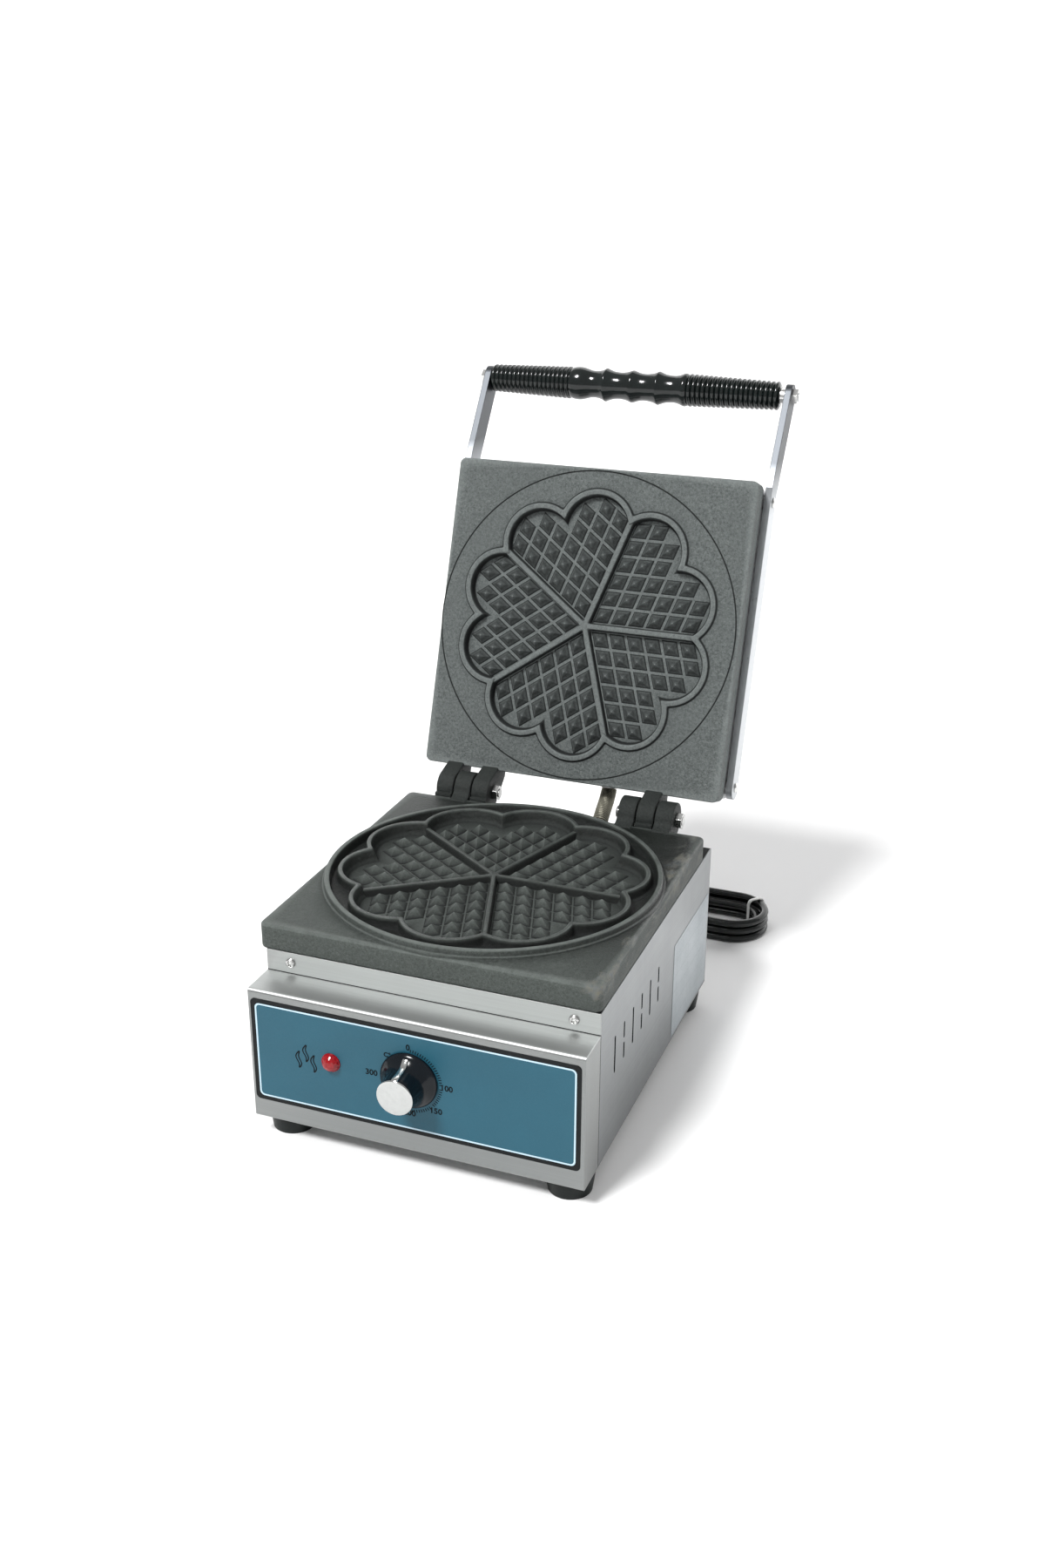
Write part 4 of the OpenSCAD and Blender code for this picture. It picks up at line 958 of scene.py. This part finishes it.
def crom(p, t):
    i = np.clip(np.floor(t).astype(int), 0, len(p) - 2)
    u = (t - i)[:, None]
    q = np.vstack([2 * p[0] - p[1], p, 2 * p[-1] - p[-2]])
    a, b, c, d = q[i], q[i + 1], q[i + 2], q[i + 3]
    return 0.5 * (2 * b + (c - a) * u + (2 * a - 5 * b + 4 * c - d) * u ** 2 + (3 * b - a - 3 * c + d) * u ** 3)


prof = [(4.2, 0.0), (9.8, 0.0), (10.2, 0.2)] + grip_rings(0.3, 80, 12.95, 15.05, 18) + [tuple(q) for q in crom(mid, tq)] + grip_rings(195, G1 - G0 - 0.4, 15.05, 12.95, 19) + [(10.2, G1 - G0 - 0.2), (9.8, G1 - G0), (4.2, G1 - G0)]
v, f = lathe(prof, 56, "x", (G0, HAY, HAZ), close=False)
grip = Bag().add(v, f).make("grip_turned", "grip", "lid", place=lid, sharp=60)
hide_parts("handle_grip")

# ------------------------------------------------------------------ knob
KX, KZ, KY = -2.0, 84.5, -0.9
prof = [(4, 0), (23.4, 0), (23.9, 0.3), (24.0, 0.8), (23.95, 1.6), (23.6, 2.4), (22.6, 3.6), (21.4, 4.4), (19.8, 5.8), (18.3, 7.4), (17.1, 8.9), (16.3, 10.4), (15.8, 12.0),
        (15.5, 14.0), (15.1, 18.0), (14.7, 22.0), (14.4, 24.2), (14.0, 24.95), (13.4, 25.2), (12.6, 25.2), (12.5, 24.0), (12.5, 22.65), (0.4, 22.65)]
v, f = lathe(prof, 96, "y", (KX, KY, KZ))
# shallow moulded flutes round the barrel
dx, dz = v[:, 0] - KX, v[:, 2] - KZ
rr_, an = np.hypot(dx, dz), np.arctan2(dz, dx)
hh = KY - v[:, 1]
amt = 0.35 * sstep(hh, 9.0, 13.0) * (1 - sstep(hh, 23.8, 24.6)) * (0.5 + 0.5 * np.cos(an * 24)) * (rr_ > 13)
v[:, 0] = KX + dx * (1 - amt / np.maximum(rr_, 1))
v[:, 2] = KZ + dz * (1 - amt / np.maximum(rr_, 1))
kb = Bag().add(v, f).make("knob_moulding", "knob", "knob", sharp=38)
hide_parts("control_knob")
bag = Bag()
prof = [(0.4, 22.7), (12.2, 22.7), (12.4, 25.5), (13.9, 25.65), (14.7, 25.9), (15.0, 26.25), (14.95, 26.6), (14.6, 26.95), (13.8, 27.1), (12.5, 27.14), (6.0, 27.17), (0.4, 27.18)]
v, f = lathe(prof, 96, "y", (KX, KY, KZ))
bag.add(v, f)
# pointer tongue from the cap down to the skirt
side_pts = [(4.7, 21.3), (5.4, 21.4), (7.5, 19.6), (10.0, 17.7), (12.0, 16.9), (18.0, 16.3), (24.6, 15.9), (26.2, 15.4), (27.0, 14.2), (27.2, 10.0)]
v, f = [], []
sec = []
for h, rad in side_pts:
    wd = 2.55 if h < 24 else 2.7
    sec.append([(-wd, h, 10.5), (-wd, h, rad - 0.9), (-wd + 0.25, h, rad - 0.3), (-wd + 0.8, h, rad), (wd - 0.8, h, rad), (wd - 0.25, h, rad - 0.3), (wd, h, rad - 0.9), (wd, h, 10.5)])
for s_ in sec:
    for x, h, rad in s_:
        v.append((KX + x, KY - h, KZ + rad))
n = 8
for i in range(len(sec) - 1):
    for j in range(n - 1):
        f.append((i * n + j, (i + 1) * n + j, (i + 1) * n + j + 1, i * n + j + 1))
f.append(tuple(range(n)))
f.append(tuple((len(sec) - 1) * n + j for j in range(n - 1, -1, -1)))
bag.add(v, f)
kc = bag.make("knob_insert", "chrome", "knob", sharp=38)
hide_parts("knob_cap")

# ------------------------------------------------------------------ pilot lamp lens: ring and faceted dome
LX = -69.0
v, f, n = [], [], 12
bag = Bag()
rings = [(7.6, 0.0, 0), (7.6, 1.5, 0), (6.7, 3.3, 0.5), (5.0, 4.9, 0), (2.7, 5.8, 0.5)]
for r, h, ph in rings:
    for j in range(n):
        q = 2 * pi * (j + ph) / n
        v.append((LX + r * math.cos(q), -0.46 - h, KZ + r * math.sin(q)))
for i in range(len(rings) - 1):
    for j in range(n):
        j2 = (j + 1) % n
        if rings[i][2] == rings[i + 1][2]:
            f.append((i * n + j, i * n + j2, (i + 1) * n + j2, (i + 1) * n + j))
        elif rings[i][2] < rings[i + 1][2]:
            f += [(i * n + j, i * n + j2, (i + 1) * n + j), (i * n + j2, (i + 1) * n + j2, (i + 1) * n + j)]
        else:
            f += [(i * n + j, i * n + j2, (i + 1) * n + j2), (i * n + j, (i + 1) * n + j2, (i + 1) * n + j)]
v.append((LX, -0.46 - 6.1, KZ))
c = len(v) - 1
k = len(rings) - 1
f += [(k * n + j, k * n + (j + 1) % n, c) for j in range(n)]
bag.add(v, f)
lens = bag.make("lamp_facets", "lens", "base", sharp=14)
v, f = lathe([(7.4, 0.0), (8.0, 0.0), (8.0, 0.9), (7.8, 1.35), (7.5, 1.5), (7.3, 1.2)], 56, "y", (LX, -0.42, KZ), close=False)
rim = Bag().add(v, f).make("lamp_rim", "lens", "base")
for o in (lens, rim):
    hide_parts("pilot_lamp_lens")


# ------------------------------------------------------------------ panel print, a few hundredths proud of the overlay
def rr_outline(x0, z0, x1, z1, rc, n=10):
    out = []
    for cx, cz, s0 in ((x1 - rc, z1 - rc, 0), (x0 + rc, z1 - rc, 90), (x0 + rc, z0 + rc, 180), (x1 - rc, z0 + rc, 270)):
        for t in np.linspace(0, 90, n):
            q = math.radians(s0 + t)
            out.append((cx + rc * math.cos(q), cz + rc * math.sin(q)))
    return out


def flat_ring(outer, inner, y):
    v = [(x, y, z) for x, z in outer] + [(x, y, z) for x, z in inner]
    n = len(outer)
    return v, [(j, n + j, n + (j + 1) % n, (j + 1) % n) for j in range(n)]


PX0, PX1, PZ0, PZ1 = -138.0, 137.0, 36.0, 128.0
o1 = rr_outline(PX0 + 3.7, PZ0 + 3.7, PX1 - 3.7, PZ1 - 3.7, 4.2)
o2 = rr_outline(PX0 + 5.1, PZ0 + 5.1, PX1 - 5.1, PZ1 - 5.1, 3.2)
v, f = flat_ring(o1, o2, -0.43)
line = Bag().add(v, f).make("panel_line", "pale", "base")
# field: the inner rounded outline and smaller copies of it round the middle, joined ring to ring, so that the sheet has
# a real surface
cx, cz = (PX0 + PX1) / 2, (PZ0 + PZ1) / 2
v, f = [], []
fr = [0.0, 0.25, 0.5, 0.75, 1.0]
n = len(o2)
for t in fr[1:]:
    for x, z in o2:
        v.append((cx + (x - cx) * t, -0.43, cz + (z - cz) * t))
v.append((cx, -0.43, cz))
for i in range(len(fr) - 2):
    for j in range(n):
        f.append((i * n + j, (i + 1) * n + j, (i + 1) * n + (j + 1) % n, i * n + (j + 1) % n))
f += [(len(v) - 1, j, (j + 1) % n) for j in range(n)]
f = [q[::-1] for q in f]
field = Bag().add(v, f).make("panel_field", "teal", "base")

ink = Bag()


def stroke(points, width, y=-0.52, closed=False):
    p = np.array(points, float)
    n = len(p)
    if closed:
        t = np.roll(p, -1, 0) - np.roll(p, 1, 0)
    else:
        t = np.gradient(p, axis=0)
    t /= np.maximum(np.linalg.norm(t, axis=1)[:, None], 1e-9)
    nn = np.stack([-t[:, 1], t[:, 0]], 1) * width / 2
    v = [(a[0] + b[0], y, a[1] + b[1]) for a, b in zip(p, nn)] + [(a[0] - b[0], y, a[1] - b[1]) for a, b in zip(p, nn)]
    m = n if closed else n - 1
    ink.add(v, [(j, n + j, n + (j + 1) % n, (j + 1) % n) for j in range(m)])


def text(body, x, z, size, y=-0.52):
    c = bpy.data.curves.new("t", "FONT")
    c.body = body
    c.size = size
    c.offset = 0.19
    c.align_x = "CENTER"
    c.align_y = "CENTER"
    c.resolution_u = 3
    o = bpy.data.objects.new("t", c)
    scene.collection.objects.link(o)
    bpy.context.view_layer.update()
    me = bpy.data.meshes.new_from_object(o.evaluated_get(bpy.context.evaluated_depsgraph_get()))
    vv = np.array([tuple(q.co) for q in me.vertices])
    ff = [tuple(q.vertices) for q in me.polygons]
    ink.add(np.stack([x + vv[:, 0], np.full(len(vv), y), z + vv[:, 1]], 1), ff)
    bpy.data.objects.remove(o)
    bpy.data.curves.remove(c)
    bpy.data.meshes.remove(me)


DX, DZ = -2.6, 83.4
for deg, word in ((0, "0"), (90, "100"), (135, "150"), (180, "200"), (225, "250"), (270, "300")):
    q = math.radians(90 - deg)
    rad_t = 29.2 if deg in (0, 180) else 31.6
    text(word, DX + rad_t * math.cos(q), DZ + rad_t * math.sin(q), 7.0)
text("C°", -20.2, 102.2, 5.6)
for i in range(1, 46):
    deg = 4.5 * i
    if min(abs(deg - q) for q in (0, 90, 135, 180)) < 3:
        continue
    q = math.radians(90 - deg)
    c, s = math.cos(q), math.sin(q)
    w = 0.8
    stroke([(DX + 25.6 * c, DZ + 25.6 * s), (DX + 28.2 * c, DZ + 28.2 * s)], w)
# three heat strokes, drawn as outlines
for hx, hz0, hz1 in ((-97.4, 73.6, 88.4), (-91.0, 80.2, 95.2), (-84.4, 72.0, 87.2)):
    t = np.linspace(0, 1, 26)
    zc = hz0 + (hz1 - hz0) * t
    xc = hx + 1.25 * np.sin(2 * pi * t * 1.05 + 0.2)
    wd = 1.35 * np.sin(pi * np.clip(t * 0.96 + 0.02, 0, 1)) ** 0.7
    loop = [(a - b, c) for a, b, c in zip(xc, wd, zc)] + [(a + b, c) for a, b, c in zip(xc[::-1], wd[::-1], zc[::-1])]
    stroke(loop, 1.0, closed=True)
marks = ink.make("panel_marks", "ink", "base", sharp=None)


# ------------------------------------------------------------------ screw heads with a cross recess
def cross_head(r, h, arm, n=64, k=18):
    """A pan head whose top carries a cross recess. Height along +z, foot at 0."""
    fr = np.linspace(0.0, 1.0, k) ** 0.9
    v = [(0, 0, h - 0.55 * h)]
    f = []
    for i in range(1, k):
        rad = r * fr[i]
        for j in range(n):
            q = 2 * pi * j / n
            x, y = rad * math.cos(q), rad * math.sin(q)
            t = rad / r
            z = h * (1 - 0.30 * t ** 2 - 0.36 * t ** 8)
            ax, ay = abs(x), abs(y)
            d = max(0.0, min(1.0, (0.19 * r - min(ax, ay)) / (0.07 * r))) * max(0.0, min(1.0, (arm - max(ax, ay)) / (0.12 * r)))
            v.append((x, y, z - 0.55 * h * d))
    v += [(r * math.cos(2 * pi * j / n), r * math.sin(2 * pi * j / n), -0.05) for j in range(n)]
    for j in range(n):
        f.append((0, 1 + j, 1 + (j + 1) % n))
    for i in range(k - 1):
        for j in range(n):
            a, b = 1 + i * n + j, 1 + i * n + (j + 1) % n
            f.append((a, a + n, b + n, b))
    return np.array(v, float), f


def heads(name, node, spots, r, h, mat, body, place=row, n=64, k=18):
    """spots: (origin, direction) pairs."""
    bag = Bag()
    v0, f0 = cross_head(r, h, 0.60 * r, n, k)
    for i, (o, d) in enumerate(spots):
        d = Vector(d).normalized()
        q = d.to_track_quat("Z", "Y").to_matrix() @ Matrix.Rotation(0.6 + 1.3 * i, 3, "Z")
        bag.add(v0 @ np.array(q).T + np.array(o, float), f0)
    ob = bag.make(name, mat, body, place=place, sharp=30)
    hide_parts(node)
    return ob


heads("strip_heads", "strip_screws", [((x, 33.0, 145.0), (0, -1, 0)) for x in (-119, 119)], 4.1, 2.6, "nut", "base", n=72, k=22)
heads("base_heads", "base_screws", [((x * 131.0, y, 18.0), (0, 0, -1)) for x in (-1, 1) for y in (70, 215)], 3.6, 2.2, "zinc", "base", n=40, k=14)
heads("rear_heads", "rear_screws", [((x * 133.0, 344.0, z), (0, 1, 0)) for x in (-1, 1) for z in (40, 130)], 3.6, 2.2, "zinc", "base", n=40, k=14)
heads("cover_heads", "cover_screws", [((-1.5 + x * 110, y, lz + 22 + 32), (0, 0, 1)) for x in (-1, 1) for y in (42, 310)], 5.0, 3.0, "zinc", "lid", place=lid, n=48, k=16)

# ------------------------------------------------------------------ spiral conduit
ca, cb = np.array([37.0, 331, 156]), np.array([31, 380.6, 184.1])
ta, tb = np.array([0, 0, 52.0]), 52 * np.array([0, 0.3305, 0.9438])
cond = [tuple((2 * t ** 3 - 3 * t * t + 1) * ca + (t ** 3 - 2 * t * t + t) * ta + (3 * t * t - 2 * t ** 3) * cb + (t ** 3 - t * t) * tb) for t in np.linspace(0, 1, 25)]
pts = smooth_path(cond, 0.33)
n = 36
tan = np.gradient(pts, axis=0)
tan /= np.linalg.norm(tan, axis=1)[:, None]
sd = np.array([1.0, 0, 0])
v, f, dk = [], [], []
PIT = 1.95
for i, (p, t) in enumerate(zip(pts, tan)):
    sd = sd - t * (sd @ t)
    sd /= np.linalg.norm(sd)
    up_ = np.cross(t, sd)
    for j in range(n):
        q = 2 * pi * j / n
        ph = (i * 0.33 / PIT + j / n) % 1.0
        rise = float(sstep(ph, 0.06, 0.34) * (1 - sstep(ph, 0.60, 0.88)))
        r = 6.25 + 0.98 * rise
        d = p + r * (math.cos(q) * sd + math.sin(q) * up_)
        v.append(d)
        # painted shade: the groove between turns gets the dark value
        dk.append(1.0 - rise)
m_ = len(pts)
for i in range(m_ - 1):
    for j in range(n):
        j2 = (j + 1) % n
        f.append((i * n + j, i * n + j2, (i + 1) * n + j2, (i + 1) * n + j))
hose = make("spiral_conduit", np.array(v), f, "conduit", None, attrs={"dark": dk}, sharp=45)
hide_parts("power_conduit")
tuple(row([(37, 331, 158)])[0])
tuple(row([(31, 380.4, 183)])[0])
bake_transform(hose)

# ------------------------------------------------------------------ the CAD nodes that stay
keep = {
    "body_shell": "steel_body", "control_fascia": "steel_front", "control_overlay": "border", "rear_panel": "steel_rear",
    "base_plate": "steel_rear", "rubber_feet": "rubber", "foot_screws": "zinc", "thermostat_spindle": "zinc",
    "thermostat_body": "ceramic", "thermostat_bulb": "copper", "capillary": "copper", "pilot_lamp_body": "white",
    "rating_label": "label", "terminal_block": "ceramic", "plate_bolts": "zinc", "lower_element": "element",
    "lower_clamp": "zinc", "lower_clamp_bolt": "zinc", "lower_insulation": "wool", "insulation_tray": "steel_rear",
    "hinge_bolts": "nut", "hinge_nuts": "nut", "upper_element": "element", "upper_clamp": "zinc", "upper_clamp_bolt": "zinc",
    "upper_insulation": "wool", "upper_cover": "cover", "handle_arm_left": "arm", "handle_arm_right": "arm",
    "arm_bolts": "nut", "handle_rod": "zinc", "handle_spacer": "nut", "handle_nuts": "nut",
    "conduit_fitting_lower": "nut", "conduit_fitting_upper": "nut",
}
for name, mat in keep.items():
    ob = N[name]
    for s in ob.material_slots:
        s.material = M[mat]

# ------------------------------------------------------------------ floor and light
me = bpy.data.meshes.new("floor")
g = 24
vs = [((i / g - 0.5) * 16, (j / g - 0.5) * 16 + 2.0, 0.0) for j in range(g + 1) for i in range(g + 1)]
fs = [(j * (g + 1) + i, j * (g + 1) + i + 1, (j + 1) * (g + 1) + i + 1, (j + 1) * (g + 1) + i) for j in range(g) for i in range(g)]
me.from_pydata(vs, [], fs)
floor = bpy.data.objects.new("floor", me)
scene.collection.objects.link(floor)
m = Mat("floor_pale", (0.93, 0.93, 0.93), 0.75)
m.b.inputs["Specular IOR Level"].default_value = 0.15
a = m.noise(3.0, 3.0, 0.5)
m.color(m.mix(m.ramp(a, 0.3, 0.7), (0.925, 0.925, 0.925), (0.94, 0.94, 0.94)))
me.materials.append(m.done())

world = bpy.data.worlds.new("studio")
scene.world = world
world.use_nodes = True
bg = world.node_tree.nodes["Background"]
bg.inputs["Color"].default_value = (1, 1, 1, 1)
bg.inputs["Strength"].default_value = 0.44


def area(name, pos, target, sx, sy, watts, color=(1, 1, 1)):
    li = bpy.data.lights.new(name, "AREA")
    li.shape = "RECTANGLE"
    li.size, li.size_y = sx, sy
    li.energy = watts
    li.color = color
    ob = bpy.data.objects.new(name, li)
    ob.location = pos
    d = Vector(target) - Vector(pos)
    ob.rotation_euler = d.to_track_quat("-Z", "Y").to_euler()
    scene.collection.objects.link(ob)
    return ob


kd = Vector((-0.30, -0.67, 1.0)).normalized()
sun = bpy.data.lights.new("key", "SUN")
sun.energy = 3.35
sun.angle = math.radians(15)
so = bpy.data.objects.new("key", sun)
so.rotation_euler = (-kd).to_track_quat("-Z", "Y").to_euler()
scene.collection.objects.link(so)

# white backdrop far behind
me = bpy.data.meshes.new("backdrop")
me.from_pydata([(-14, 6.0, -0.5), (14, 6.0, -0.5), (14, 6.0, 9.0), (-14, 6.0, 9.0)], [], [(0, 1, 2, 3)])
drop = bpy.data.objects.new("backdrop", me)
scene.collection.objects.link(drop)
m = Mat("backdrop_white", (0.9, 0.9, 0.9), 0.9)
m.b.inputs["Emission Color"].default_value = (1, 1, 1, 1)
m.b.inputs["Emission Strength"].default_value = 0.6
me.materials.append(m.done())
scene.view_settings.view_transform = "Standard"
scene.view_settings.look = "None"
